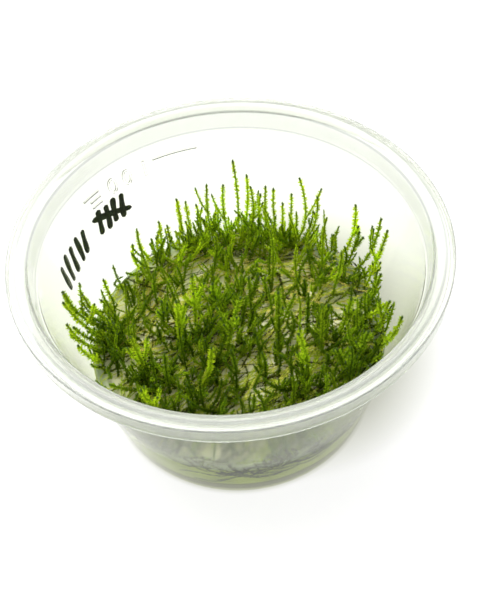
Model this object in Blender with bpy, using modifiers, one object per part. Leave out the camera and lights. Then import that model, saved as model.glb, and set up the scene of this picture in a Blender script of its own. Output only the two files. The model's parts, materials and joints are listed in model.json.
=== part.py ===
"""A tissue culture cup of moss: a thin stackable plastic cup, nutrient gel in it, and moss growing on the gel.

Units are metres and +Z is up. The origin is the centre of the cup's foot, and the near side is -Y.
Azimuths are in degrees, counted from +X towards +Y.
"""

import math
import random

import bmesh
import bpy
from mathutils import Matrix, Vector, noise

MM = 0.001

# Cup wall and floor. The step is the small ledge inside that the next cup of a stack rests on
CUP_HEIGHT = 44.8 * MM
WALL = 0.85 * MM
FLOOR_HEIGHT = 2.8 * MM
FLOOR_RADIUS = 27.5 * MM
FLOOR_FILLET = 1.6 * MM
FLOOR_WALL = 1.2 * MM
STEP_BOTTOM = 39.6 * MM
STEP_TOP = 40.2 * MM
STEP_RADIUS = 35.4 * MM
STEP_DEPTH = 0.45 * MM
FOOT_RADIUS = 27.7 * MM
FOOT_ROUNDING = 0.6 * MM
FOOT_WIDTH = 1.1 * MM
FOOT_DRAFT = 0.4 * MM
TURN_STEPS = 56

# Cup rim: a lip at the mouth, a round ridge, a shallow groove, and a skirt that hangs from the outer edge
MOUTH_RADIUS = 36.4 * MM
MOUTH_DROP = 1.0 * MM
LIP_WIDTH = 0.9 * MM
LIP_DROP = 0.25 * MM
RIDGE_RADIUS = 38.5 * MM
GROOVE_OFFSET = 0.7 * MM
GROOVE_DEPTH = 0.2 * MM
RIM_RADIUS = 40.2 * MM
RIM_ROUNDING = 0.4 * MM
SKIRT_DROP = 3.3 * MM
SKIRT_WALL = 0.9 * MM
SKIRT_ROUNDING = 0.2 * MM
FLANGE_WALL = 0.85 * MM
FLANGE_FILLET = 0.3 * MM
FLANGE_DROP = 0.6 * MM

# Moulded marks on the outside of the wall
NUMBER = "100"
NUMBER_AZIMUTHS = (118.5, 125.5, 131.7)
NUMBER_CENTRE = 34.9 * MM
NUMBER_SIZE = 5.1 * MM
MARK_HEIGHT = 0.3 * MM
MARK_SINK = 0.3 * MM
LINE_RADIUS = 0.32 * MM
LINE_STEP = 4.0
# Each line: first azimuth, last azimuth, height
MARK_LINES = (
    (99.0, 115.0, 36.3 * MM),
    (137.5, 144.5, 36.3 * MM),
    (137.5, 142.0, 35.0 * MM),
    (137.5, 142.0, 33.7 * MM),
)

# Gel
GAP = 0.3 * MM
GEL_TOP = 14.5 * MM
GEL_MENISCUS = 0.4 * MM
GEL_MENISCUS_WIDTH = 1.2 * MM
GEL_CHAMFER = 1.5 * MM
GEL_CHAMFER_WIDTH = 1.1 * MM

# Moss mat
MAT_BOTTOM = GEL_TOP + GEL_MENISCUS + GAP
MAT_RADIUS = 28.8 * MM
MAT_RAGGED = 0.8 * MM
MAT_TOP = 16.6 * MM
MAT_RISE = 0.12
MAT_LUMP = 0.7 * MM
MAT_LUMP_SPACING = 6.5 * MM
MAT_EDGE_DROP = 1.0 * MM
MAT_EDGE_POWER = 6
MAT_RAGGED_TURN = 3.0
MAT_CELLS = 18
MAT_CELL_JITTER = 0.3
MAT_SEED = 5

# Short shoots, which are one with the mat
SHORT_SEED = 11
SHORT_COUNT = 50
SHORT_HEIGHT = (6.0 * MM, 14.0 * MM)
SHORT_LEAN = 3.5 * MM
SHORT_BOW = 1.0 * MM
SHORT_WIDTH = 1.2 * MM
SHORT_INSET = 0.8 * MM
SHORT_TAPER = (1.0, 0.8, 0.95, 0.3)
SHORT_CLEARANCE = 1.9 * MM

# Tall shoots. Each: foot azimuth and radius, tip azimuth, radius and height, half width, sideways bow
LEFT_SHOOTS = (
    (157, 28.0, 157, 29.3, 23.0, 0.45, 0.2),
    (163, 27.4, 164, 29.0, 20.5, 0.40, -0.3),
    (168, 27.2, 170, 31.0, 26.0, 0.50, 0.5),
    (171, 28.2, 180, 32.5, 33.5, 0.60, 0.6),
    (175, 27.6, 184, 32.4, 33.0, 0.55, 0.4),
    (180, 28.2, 189, 31.5, 28.5, 0.45, -0.4),
    (184, 27.6, 193, 32.2, 32.5, 0.50, 0.5),
    (190, 28.0, 198, 31.4, 29.0, 0.50, 0.0),
)
BACK_LEFT_SHOOTS = (
    (136, 28.0, 136, 29.0, 23.7, 0.35, 0.6),
    (129, 27.8, 131, 30.0, 25.0, 0.45, 0.8),
    (123, 27.8, 121, 29.3, 25.0, 0.55, 0.0),
    (116, 27.0, 117, 30.0, 22.0, 0.45, 0.3),
    (112, 28.0, 111, 30.3, 28.2, 0.50, -0.2),
    (107, 27.8, 107, 31.0, 26.0, 0.35, 0.2),
    (103, 27.8, 103, 30.8, 24.5, 0.35, -0.3),
)
BACK_SHOOTS = (
    (98, 28.0, 98, 28.8, 31.6, 0.45, 0.4),
    (94, 28.2, 94, 29.8, 23.0, 0.35, 0.3),
    (90, 27.4, 91, 27.8, 31.8, 0.45, 0.6),
    (86.5, 28.4, 86.5, 31.0, 35.6, 0.55, -0.6),
    (83.5, 28.2, 81.5, 32.0, 30.5, 0.35, -0.4),
    (80.5, 26.6, 79, 27.6, 31.3, 0.45, -0.7),
    (75, 28.2, 75, 28.5, 28.5, 0.35, 0.5),
    (71, 26.8, 72, 27.4, 32.0, 0.45, 0.4),
    (68, 28.2, 70, 30.0, 29.2, 0.35, 0.3),
    (63.5, 26.3, 63.5, 26.5, 29.0, 0.50, 0.0),
    (62, 28.6, 61.5, 29.2, 29.6, 0.35, 0.0),
    (57, 28.3, 59.5, 30.8, 33.2, 0.45, -1.6),
    (53.5, 28.5, 51.5, 30.9, 29.6, 0.40, -0.8),
)
RIGHT_SHOOTS = (
    (39, 28.2, 39, 28.6, 24.0, 0.40, 0.4),
    (35, 28.7, 32, 30.6, 34.3, 0.50, -1.2),
    (29.5, 28.6, 27, 30.0, 29.0, 0.40, 0.2),
    (24.5, 28.7, 21, 32.5, 34.5, 0.45, -0.9),
    (19, 28.6, 16, 32.5, 33.8, 0.45, -0.5),
    (14.5, 28.6, 13.5, 31.0, 30.3, 0.40, 0.4),
    (7, 28.6, 7, 29.8, 27.0, 0.40, 0.3),
    (-4, 25.4, -5, 30.0, 25.3, 0.45, 0.0),
    (-9, 28.6, -8, 30.2, 28.0, 0.45, 0.4),
    (-17, 28.6, -25, 32.9, 35.6, 0.50, -0.8),
)
MIDDLE_SHOOTS = (
    (208, 20.4, 206, 22.0, 30.5, 0.60, 0.9),
    (179, 23.6, 179, 24.6, 22.2, 0.50, 0.8),
    (172, 15.0, 172, 14.6, 26.0, 0.60, 0.4),
    (190, 12.0, 190, 11.2, 30.5, 0.60, 0.5),
    (168, 8.6, 168, 7.8, 33.5, 0.60, 0.3),
    (114, 7.0, 121, 8.0, 24.5, 0.50, 0.5),
    (250, 6.6, 285, 5.4, 34.0, 0.60, -0.8),
    (4, 3.4, 6, 3.2, 33.0, 0.60, 0.4),
    (330, 9.4, 331, 9.6, 34.0, 0.60, 0.3),
    (312, 19.6, 307, 18.4, 34.0, 0.60, 1.0),
    (-14, 21.0, -12, 22.8, 30.5, 0.60, 0.2),
    (-9, 17.0, -10, 18.6, 27.0, 0.50, 0.3),
    (-26, 25.3, -25, 27.2, 28.8, 0.50, -0.4),
    (-35, 25.6, -39, 23.4, 28.5, 0.50, 0.5),
    (240, 15.0, 249, 13.4, 29.0, 0.60, 0.3),
    (230, 24.6, 228, 27.0, 28.0, 0.55, 0.4),
)
SHOOT_ROWS = {
    "shoot_left": LEFT_SHOOTS,
    "shoot_back_left": BACK_LEFT_SHOOTS,
    "shoot_back": BACK_SHOOTS,
    "shoot_right": RIGHT_SHOOTS,
    "shoot_middle": MIDDLE_SHOOTS,
}
SHOOT_TAPER = (0.65, 1.0, 0.82, 1.0, 0.8, 0.3)
SHOOT_BEVEL_RESOLUTION = 1


def clear_scene():
    for obj in list(bpy.data.objects):
        bpy.data.objects.remove(obj)


def new_collection(name, hidden=False):
    collection = bpy.data.collections.new(name)
    collection.hide_render = hidden
    bpy.context.scene.collection.children.link(collection)
    return collection


def principled(name, colour, roughness, transmission=0.0):
    """A material with the part's own colour and gloss."""
    material = bpy.data.materials.new(name)
    material.use_nodes = True
    shader = material.node_tree.nodes["Principled BSDF"]
    shader.inputs["Base Color"].default_value = (*colour, 1.0)
    shader.inputs["Roughness"].default_value = roughness
    shader.inputs["Metallic"].default_value = 0.0
    shader.inputs["Transmission Weight"].default_value = transmission
    return material


def on_circle(azimuth, radius, height):
    angle = math.radians(azimuth)
    return Vector((radius * math.cos(angle), radius * math.sin(angle), height))


def arc(centre, radius, first, last, count):
    """Profile points on an arc from angle first to angle last, both in degrees and both included."""
    angles = [math.radians(first + (last - first) * i / (count - 1)) for i in range(count)]
    return [(centre[0] + radius * math.cos(a), centre[1] + radius * math.sin(a)) for a in angles]


def wall_slope():
    return (STEP_RADIUS - FLOOR_RADIUS) / (STEP_BOTTOM - FLOOR_HEIGHT)


def inner_radius(height):
    """Inside radius of the cup's cone wall at a height."""
    return FLOOR_RADIUS + (height - FLOOR_HEIGHT) * wall_slope()


def outer_radius(height):
    """Outside radius of the cup's cone wall at a height."""
    return FOOT_RADIUS + height * (STEP_RADIUS + WALL - FOOT_RADIUS) / STEP_BOTTOM


def cup_profile():
    """The cup's section, from the middle of its floor up the inside, over the rim and down the outside."""
    taper = math.degrees(math.atan(wall_slope()))
    fillet_height = FLOOR_HEIGHT + FLOOR_FILLET
    fillet_centre = (inner_radius(fillet_height) - FLOOR_FILLET, fillet_height)
    inside = [(0.0, FLOOR_HEIGHT)]
    inside += arc(fillet_centre, FLOOR_FILLET, -90.0, -taper, 3)
    inside += [(STEP_RADIUS, STEP_BOTTOM), (STEP_RADIUS + STEP_DEPTH, STEP_TOP)]

    mouth_height = CUP_HEIGHT - MOUTH_DROP
    skirt_bottom = CUP_HEIGHT - SKIRT_DROP
    skirt_inside = RIM_RADIUS - SKIRT_WALL
    flange_bottom = CUP_HEIGHT - FLANGE_WALL
    rim = [
        (MOUTH_RADIUS, mouth_height),
        (MOUTH_RADIUS + LIP_WIDTH, CUP_HEIGHT - LIP_DROP),
        (RIDGE_RADIUS, CUP_HEIGHT),
        (RIDGE_RADIUS + GROOVE_OFFSET, CUP_HEIGHT - GROOVE_DEPTH),
        (RIM_RADIUS - RIM_ROUNDING, CUP_HEIGHT),
        (RIM_RADIUS, CUP_HEIGHT - RIM_ROUNDING),
        (RIM_RADIUS, skirt_bottom + SKIRT_ROUNDING),
        (RIM_RADIUS - SKIRT_ROUNDING, skirt_bottom),
        (skirt_inside, skirt_bottom),
        (skirt_inside, flange_bottom - FLANGE_FILLET),
        (RIDGE_RADIUS, flange_bottom),
        (MOUTH_RADIUS + WALL, mouth_height - FLANGE_DROP),
    ]

    foot_height = 1.5 * FOOT_ROUNDING
    foot_flat = FOOT_RADIUS - FOOT_ROUNDING
    foot_inside = foot_flat - FOOT_WIDTH
    underside = FLOOR_HEIGHT - FLOOR_WALL
    outside = [
        (STEP_RADIUS + STEP_DEPTH + WALL, STEP_TOP),
        (outer_radius(STEP_BOTTOM), STEP_BOTTOM),
        (outer_radius(foot_height), foot_height),
        (FOOT_RADIUS - 0.2 * FOOT_ROUNDING, 0.3 * FOOT_ROUNDING),
        (foot_flat, 0.0),
        (foot_inside, 0.0),
        (foot_inside - FOOT_DRAFT, underside),
        (0.0, underside),
    ]
    return inside + rim + outside


def gel_profile():
    """The gel's section, from the middle of its top out to the wall, down it and in along the floor."""
    bottom = FLOOR_HEIGHT + GAP
    edge_top = GEL_TOP + GEL_MENISCUS
    edge = inner_radius(edge_top) - GAP
    chamfer_edge = inner_radius(bottom + GEL_CHAMFER) - 1.5 * GAP
    return [
        (0.0, GEL_TOP),
        (edge - GEL_MENISCUS_WIDTH, GEL_TOP),
        (edge, edge_top),
        (chamfer_edge, bottom + GEL_CHAMFER),
        (chamfer_edge - GEL_CHAMFER_WIDTH, bottom),
        (0.0, bottom),
    ]


def turned(name, profile, collection, material):
    """An object turned about Z from its profile."""
    mesh = bpy.data.meshes.new(name)
    edges = [(i, i + 1) for i in range(len(profile) - 1)]
    mesh.from_pydata([(radius, 0.0, height) for radius, height in profile], edges, [])
    mesh.materials.append(material)
    obj = bpy.data.objects.new(name, mesh)
    collection.objects.link(obj)
    screw = obj.modifiers.new("Turn", "SCREW")
    screw.steps = TURN_STEPS
    screw.render_steps = TURN_STEPS
    screw.use_merge_vertices = True
    screw.merge_threshold = 0.01 * MM
    screw.use_smooth_shade = True
    return obj


def tube(name, points, half_widths, collection, material, bevel_resolution):
    """A curve object through the points, with a half width at each and closed ends."""
    curve = bpy.data.curves.new(name, "CURVE")
    curve.dimensions = "3D"
    curve.bevel_depth = 1.0 * MM
    curve.bevel_resolution = bevel_resolution
    curve.use_fill_caps = True
    spline = curve.splines.new("POLY")
    spline.points.add(len(points) - 1)
    for control, point, half_width in zip(spline.points, points, half_widths):
        control.co = (*point, 1.0)
        control.radius = half_width / curve.bevel_depth
    curve.materials.append(material)
    obj = bpy.data.objects.new(name, curve)
    collection.objects.link(obj)
    return obj


def as_mesh(obj, collection):
    """Puts a mesh object in place of a curve or text object, with its caps welded."""
    bpy.context.view_layer.update()
    evaluated = obj.evaluated_get(bpy.context.evaluated_depsgraph_get())
    mesh = bpy.data.meshes.new_from_object(evaluated)
    bm = bmesh.new()
    bm.from_mesh(mesh)
    bmesh.ops.remove_doubles(bm, verts=bm.verts, dist=0.001 * MM)
    bmesh.ops.recalc_face_normals(bm, faces=bm.faces)
    bm.to_mesh(mesh)
    bm.free()
    made = bpy.data.objects.new(obj.name + "_mesh", mesh)
    made.matrix_world = obj.matrix_world
    made.display_type = "WIRE"
    made.hide_render = True
    collection.objects.link(made)
    bpy.data.objects.remove(obj)
    return made


def wall_frame(azimuth, height):
    """Axes on the outside wall: along it, up it and out of it, with the origin on the surface."""
    angle = math.radians(azimuth)
    lean = math.atan(wall_slope())
    along = Vector((-math.sin(angle), math.cos(angle), 0.0))
    outward = Vector((math.cos(angle), math.sin(angle), 0.0))
    up_wall = outward * math.sin(lean) + Vector((0.0, 0.0, math.cos(lean)))
    out = along.cross(up_wall)
    matrix = Matrix((along, up_wall, out)).transposed().to_4x4()
    matrix.translation = on_circle(azimuth, outer_radius(height), height)
    return matrix


def moulded_digit(text, azimuth, collection):
    curve = bpy.data.curves.new("digit", "FONT")
    curve.body = text
    curve.size = NUMBER_SIZE
    curve.align_x = "CENTER"
    curve.align_y = "CENTER"
    curve.resolution_u = 2
    curve.extrude = (MARK_HEIGHT + MARK_SINK) / 2
    obj = bpy.data.objects.new("digit", curve)
    offset = Matrix.Translation((0.0, 0.0, (MARK_HEIGHT - MARK_SINK) / 2))
    obj.matrix_world = wall_frame(azimuth, NUMBER_CENTRE) @ offset
    collection.objects.link(obj)
    return as_mesh(obj, collection)


def moulded_line(first, last, height, collection):
    count = max(3, round((last - first) / LINE_STEP) + 1)
    points = []
    for i in range(count):
        azimuth = first + (last - first) * i / (count - 1)
        points.append(on_circle(azimuth, outer_radius(height), height))
    line = tube("line", points, [LINE_RADIUS] * count, collection, None, 0)
    return as_mesh(line, collection)


def make_cup(parts, marks, material):
    cup = turned("cup", cup_profile(), parts, material)
    for text, azimuth in zip(NUMBER, NUMBER_AZIMUTHS):
        moulded_digit(text, azimuth, marks)
    for first, last, height in MARK_LINES:
        moulded_line(first, last, height, marks)
    join = cup.modifiers.new("Moulded marks", "BOOLEAN")
    join.operation = "UNION"
    join.operand_type = "COLLECTION"
    join.collection = marks
    join.solver = "EXACT"
    return cup


def mat_height(x, y):
    """Height of the mat's lumpy top, which rises a little towards +X and rounds down at its edge."""
    place = Vector((x, y, 0.0)) / MAT_LUMP_SPACING
    lumps = MAT_LUMP * noise.noise(place)
    reach = math.hypot(x, y) / MAT_RADIUS
    edge = MAT_EDGE_DROP * min(reach, 1.0) ** MAT_EDGE_POWER
    return MAT_TOP + MAT_RISE * max(x, 0.0) + lumps - edge


def mat_outline(azimuth):
    """Radius of the mat's ragged edge at an azimuth in radians."""
    place = Vector((math.cos(azimuth), math.sin(azimuth), 0.0)) * MAT_RAGGED_TURN
    return MAT_RADIUS + MAT_RAGGED * noise.noise(place)


def square_to_disc(u, v):
    """A point of the unit disc for a point of the square from -1 to 1."""
    return u * math.sqrt(1.0 - v * v / 2.0), v * math.sqrt(1.0 - u * u / 2.0)


def bend(foot, tip, bow, count):
    """Points along a shoot that leans out from its foot, turns up towards its tip and bows to one side."""
    rise = Vector((0.0, 0.0, tip.z - foot.z))
    lean = Vector((tip.x - foot.x, tip.y - foot.y, 0.0))
    side = Vector((-foot.y, foot.x, 0.0)).normalized()
    middle = foot + 0.4 * rise + 0.65 * lean + 2.0 * bow * side
    points = []
    for i in range(count):
        t = i / (count - 1)
        points.append(foot * (1 - t) ** 2 + middle * 2 * t * (1 - t) + tip * t * t)
    return points


def tall_paths():
    """Name, points and half width of each tall shoot."""
    paths = []
    for row, shoots in SHOOT_ROWS.items():
        for number, shoot in enumerate(shoots, 1):
            foot_azimuth, foot_radius, tip_azimuth, tip_radius, tip_height, half_width, bow = shoot
            foot = on_circle(foot_azimuth, foot_radius * MM, 0.0)
            foot.z = mat_height(foot.x, foot.y) + GAP
            tip = on_circle(tip_azimuth, tip_radius * MM, tip_height * MM)
            points = bend(foot, tip, bow * MM, len(SHOOT_TAPER))
            paths.append((f"{row}_{number:02d}", points, half_width * MM))
    return paths


def nearest(points, others):
    return min((a - b).length for a in points for b in others)


def short_paths(cells, tall):
    """Cell and points of each short shoot: cells drawn at random that leave room for the shoots around them."""
    draw = random.Random(SHORT_SEED)
    places = sorted(cells)
    draw.shuffle(places)
    taken = set()
    paths = []
    for column, row in places:
        cell = cells[column, row]
        around = {(column + i, row + j) for i in (-1, 0, 1) for j in (-1, 0, 1)}
        if len(paths) == SHORT_COUNT or around & taken or not around <= cells.keys():
            continue
        lean = on_circle(draw.uniform(0.0, 360.0), SHORT_LEAN * draw.random(), draw.uniform(*SHORT_HEIGHT))
        foot = cell.calc_center_median()
        bow = draw.uniform(-SHORT_BOW, SHORT_BOW)
        points = bend(foot, foot + lean, bow, len(SHORT_TAPER) + 1)
        if all(nearest(points, others) > SHORT_CLEARANCE for others in tall):
            paths.append((cell, points))
            taken.add((column, row))
    return paths


def grow_from_face(bm, face, points):
    """Draws one face of the mat up through the points into a short tapering shoot."""
    bmesh.ops.inset_individual(bm, faces=[face], thickness=SHORT_INSET, use_even_offset=True)
    for point, taper in zip(points[1:], SHORT_TAPER):
        face = bmesh.ops.extrude_discrete_faces(bm, faces=[face])["faces"][0]
        middle = face.calc_center_median()
        for vert in face.verts:
            outward = vert.co - middle
            outward.z = 0.0
            vert.co = point + outward.normalized() * SHORT_WIDTH / 2 * taper


def make_mat(collection, material, tall):
    """The matted old moss with its short shoots, drawn up from its own faces."""
    bm = bmesh.new()
    draw = random.Random(MAT_SEED)
    grid = {}
    for i in range(MAT_CELLS + 1):
        for j in range(MAT_CELLS + 1):
            inside = 0 < i < MAT_CELLS and 0 < j < MAT_CELLS
            jitter = MAT_CELL_JITTER if inside else 0.0
            across = i + draw.uniform(-jitter, jitter)
            along = j + draw.uniform(-jitter, jitter)
            u, v = square_to_disc(2 * across / MAT_CELLS - 1, 2 * along / MAT_CELLS - 1)
            radius = mat_outline(math.atan2(v, u))
            x, y = u * radius, v * radius
            grid[i, j] = bm.verts.new((x, y, mat_height(x, y)))
    cells = {}
    for i in range(MAT_CELLS):
        for j in range(MAT_CELLS):
            corners = (grid[i, j], grid[i + 1, j], grid[i + 1, j + 1], grid[i, j + 1])
            cells[i, j] = bm.faces.new(corners)
    rim = [edge for edge in bm.edges if edge.is_boundary]
    drawn = bmesh.ops.extrude_edge_only(bm, edges=rim)["geom"]
    for vert in [item for item in drawn if isinstance(item, bmesh.types.BMVert)]:
        vert.co.z = MAT_BOTTOM
    open_edges = [edge for edge in bm.edges if edge.is_boundary]
    bmesh.ops.edgeloop_fill(bm, edges=open_edges)
    bmesh.ops.recalc_face_normals(bm, faces=bm.faces)
    for cell, points in short_paths(cells, tall):
        grow_from_face(bm, cell, points)
    bmesh.ops.recalc_face_normals(bm, faces=bm.faces)
    mesh = bpy.data.meshes.new("moss_mat")
    bm.to_mesh(mesh)
    bm.free()
    mesh.shade_smooth()
    mesh.materials.append(material)
    collection.objects.link(bpy.data.objects.new("moss_mat", mesh))


def main():
    clear_scene()
    parts = new_collection("moss_cup")
    marks = new_collection("moulded_marks", hidden=True)
    plastic = principled("cup_plastic", (0.86, 0.88, 0.84), 0.25, transmission=0.8)
    gel = principled("gel", (0.78, 0.80, 0.66), 0.15, transmission=0.6)
    old_moss = principled("old_moss", (0.20, 0.24, 0.06), 0.8)
    new_moss = principled("new_moss", (0.24, 0.42, 0.05), 0.6)

    make_cup(parts, marks, plastic)
    turned("gel", gel_profile(), parts, gel)
    tall = tall_paths()
    make_mat(parts, old_moss, [points for _, points, _ in tall])
    for name, points, half_width in tall:
        half_widths = [half_width * taper for taper in SHOOT_TAPER]
        tube(name, points, half_widths, parts, new_moss, SHOOT_BEVEL_RESOLUTION)


main()
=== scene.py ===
"""The looks of a tissue culture cup of moss: moulded cup, gel and leafy moss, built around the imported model.

Lengths are metres and +Z is up. The near side is -Y. Azimuths are in degrees, counted from +X towards +Y.
"""

import json
import math

import bpy
import numpy as np
from bpy.props import FloatProperty, FloatVectorProperty, IntProperty, PointerProperty
from mathutils import Matrix, Vector, noise

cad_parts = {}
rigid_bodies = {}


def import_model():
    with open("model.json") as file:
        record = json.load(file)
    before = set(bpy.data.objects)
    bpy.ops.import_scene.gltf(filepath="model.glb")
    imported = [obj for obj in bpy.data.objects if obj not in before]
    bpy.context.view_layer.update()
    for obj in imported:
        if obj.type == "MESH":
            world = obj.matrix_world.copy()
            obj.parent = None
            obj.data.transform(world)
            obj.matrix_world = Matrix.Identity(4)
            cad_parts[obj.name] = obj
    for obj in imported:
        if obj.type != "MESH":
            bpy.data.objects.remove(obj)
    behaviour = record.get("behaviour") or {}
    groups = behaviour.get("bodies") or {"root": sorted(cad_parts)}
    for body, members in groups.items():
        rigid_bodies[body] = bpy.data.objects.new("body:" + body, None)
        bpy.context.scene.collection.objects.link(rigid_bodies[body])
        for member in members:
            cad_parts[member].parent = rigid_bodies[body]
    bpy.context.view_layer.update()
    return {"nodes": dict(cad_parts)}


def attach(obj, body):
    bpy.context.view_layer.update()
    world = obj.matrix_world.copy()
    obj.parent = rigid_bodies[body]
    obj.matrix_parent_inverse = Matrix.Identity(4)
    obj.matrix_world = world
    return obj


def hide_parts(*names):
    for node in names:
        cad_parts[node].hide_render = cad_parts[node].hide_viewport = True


bl_info = {
    "name": "Moss Cup",
    "version": (1, 0, 0),
    "blender": (4, 5, 0),
    "location": "3D View > Sidebar > Moss Cup",
    "description": "Builds a culture cup with gel and leafy moss around its packed model",
    "category": "Add Mesh",
}

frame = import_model()

MM = 0.001

# Cup section. Each corner: radius, height and the size of its rounding, from the floor up the inside,
# over the rim, down the outside and in under the floor
FLOOR_TOP = 2.8
FLOOR_UNDERSIDE = 1.6
CUP_CORNERS = (
    (27.6, FLOOR_TOP, 1.6),
    (35.4, 39.6, 0.5),
    (35.85, 40.2, 0.4),
    (36.4, 43.8, 0.6),
    (37.3, 44.55, 0.6),
    (38.5, 44.8, 0.5),
    (39.2, 44.6, 0.3),
    (40.2, 44.8, 0.4),
    (40.2, 41.5, 0.4),
    (39.3, 41.5, 0.4),
    (39.3, 43.95, 0.3),
    (38.5, 43.95, 0.4),
    (37.25, 43.2, 0.5),
    (36.7, 40.2, 0.4),
    (36.25, 39.6, 0.5),
    (27.7, 0.0, 0.6),
    (26.0, 0.0, 0.25),
    (25.6, FLOOR_UNDERSIDE, 0.5),
)
CORNER_STEPS = 4

# Edges of the rim that show as thin grey circles: painted shade for the dark lines at clear plastic's edges.
# Each: radius and height
SHADED_EDGE_CIRCLES = ((36.6, 43.9), (38.5, 44.8), (40.15, 44.7), (36.0, 40.2))
EDGE_REACH = 0.16 * MM

# The rim's thick plastic starts at this height. A mark's flank is a face that lies above the wall by
# more than the lift, and that looks out of the cup by less than the slope
RIM_START = 39.7
FLANK_LIFT = 0.04
FLANK_SLOPE = 0.75

# Tint of the light that goes straight on, and least and most roughness, of the wall and of the rim
WALL_TINT = (0.95, 0.97, 0.83)
WALL_HAZE = (0.02, 0.06)
RIM_TINT = (0.93, 0.95, 0.90)
RIM_HAZE = (0.06, 0.18)

# Waves and fine haze of moulded plastic
WAVE_SIZE = 7.0 * MM
HAZE_SIZE = 0.9 * MM
PLASTIC_WAVE_SHARE = 0.97
PLASTIC_BUMP = 0.01 * MM

# Ranges where the mist starts below the rim and on the near side, and where wet plastic starts and ends
MIST_TOP = (39.0 * MM, 37.0 * MM)
MIST_SIDE = (4.0 * MM, -12.0 * MM)
WET_BOTTOM = (2.2 * MM, 2.3 * MM)
WET_TOP = (14.8 * MM, 14.4 * MM)

INSIDE_WALL = ((27.5, 2.8), (35.4, 39.6))
OUTSIDE_WALL = ((27.7, 0.0), (36.25, 39.6))

# Moulded marks on the outside of the wall. Each line: first azimuth, last azimuth, height
NUMBER = "100"
NUMBER_AZIMUTHS = (118.5, 125.5, 131.7)
NUMBER_CENTRE = 34.9
NUMBER_SIZE = 5.1 * MM
MARK_HEIGHT = 0.28 * MM
MARK_SINK = 0.3 * MM
MARK_ROUNDING = 0.05 * MM
LINE_RADIUS = 0.3 * MM
MARK_LINES = (
    (99.0, 115.0, 36.3),
    (137.5, 144.5, 36.3),
    (137.5, 142.0, 35.0),
    (137.5, 142.0, 33.7),
)

# Pen strokes on the outside of the wall. Each: azimuth and height of its first and of its last end
PEN_STROKES = (
    (130.0, 32.6, 131.2, 27.0),
    (133.6, 32.9, 134.8, 27.3),
    (137.4, 32.5, 138.5, 26.8),
    (141.2, 32.8, 142.2, 27.1),
    (127.6, 28.2, 144.6, 31.6),
    (150.6, 32.2, 151.8, 26.8),
    (154.6, 32.6, 155.8, 26.4),
    (158.8, 32.3, 160.0, 26.1),
    (163.0, 32.6, 164.4, 26.2),
    (167.2, 32.0, 168.8, 26.0),
)
PEN_LIFT = 0.03 * MM
PEN_THICKNESS = 0.02 * MM
PEN_STEPS = 22
PEN_WANDER = 0.35
THIN_INK = (0.05, 0.06, 0.075)

# Gel. Its top climbs a little beside the wall. The spokes are directions in radians
GEL_TOP = 14.5
GEL_RISE = 0.07
GEL_LUMP = 0.5
GEL_LUMP_SPACING = 5.0
GEL_RINGS = 70
GEL_SIDE_RINGS = 24
GEL_SPOKES = np.arange(200) * 2 * math.pi / 200
GEL_WALL_GAP = 0.3
GEL_BOTTOM = 3.1
GEL_ROUNDING = 1.5
GEL_DRAFT = 0.3
GEL_CLIMB = 0.4
GEL_CLIMB_START = 0.96

# Looks of the gel: refraction, roughness, tint, and the ranges where its pale look and its edge start.
# The pale top is partly painted light, and the darker edge beside the wall is painted shade
GEL_BENDING = 1.12
GEL_HAZE = (0.1, 0.3)
GEL_TINT = (0.30, 0.33, 0.12)
GEL_PALE_TOP = (12.8 * MM, 13.8 * MM)
GEL_PALE_BOTTOM = (3.6 * MM, 3.2 * MM)
GEL_SHADE_REACH = (30.5 * MM, 32.5 * MM)

# Open patches of gel in the moss. Each: x, y, radius
CLEARINGS = (
    (19.0, 23.5, 2.4),
    (15.0, 18.5, 2.4),
    (11.0, 12.5, 1.8),
    (3.0, 22.0, 1.8),
    (5.2, 1.0, 1.5),
    (21.0, 7.3, 1.9),
    (-25.0, 11.5, 3.2),
    (-27.5, 3.5, 2.2),
    (-22.5, 18.0, 2.4),
    (-14.0, 5.5, 1.8),
    (-16.0, -3.0, 1.8),
    (-5.0, -15.0, 1.8),
    (9.0, -13.0, 1.6),
)

# Moss mat
MAT_TOP = 16.6
MAT_RISE = 0.12
MAT_RADIUS = 29.4
MAT_MARGIN = 0.8
MAT_FOUND_ABOVE = 0.8
TUFT_RADIUS = 2.0
TUFT_SPACING = 9.0

# Points around a short CAD shoot, and the distance within which two belong to the same one
RING_POINTS = 4
JOIN_DISTANCE = 1.55 * MM

# Old strands: their tones and how common each is, and a factor of the tone by y that dims the near ones,
# as painted shade
OLD_TONES = (0.05, 0.25, 0.55, 0.8, 0.97)
OLD_TONE_SHARES = (0.12, 0.16, 0.22, 0.28, 0.22)
OLD_NEAR_SHADE = ((-22.0, 2.0), (0.62, 1.0))
STRAND_STEP = 0.6 * MM
STRAND_SWING_SPACING = 11.0

# Tufts of old strands caught between the gel and the near wall. Each: azimuth and height of its foot
SUNKEN_TUFTS = (
    (-128.0, 16.5),
    (-121.0, 16.5),
    (-106.0, 14.0),
    (-98.0, 11.0),
    (-92.0, 9.5),
    (-86.0, 10.0),
    (-78.0, 12.5),
    (-70.0, 14.5),
    (-60.0, 11.0),
    (-52.0, 11.5),
    (-47.0, 13.0),
)

# Strands: thickness of a thin stem along it, thickness of a thick stem by the distance from its tip in
# lengths of the bud, both as shares of the leaves' reach, and the least gaps to the wall
THIN_STEM = ((0.0, 1.0), (0.2, 0.15))
THICK_STEM = ((0.0, 0.4, 1.0, 3.0), (0.06, 0.34, 0.30, 0.26))
STEM_SIDES = 5
STEM_GAP = 0.12
LEAF_GAP = 0.1

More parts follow.
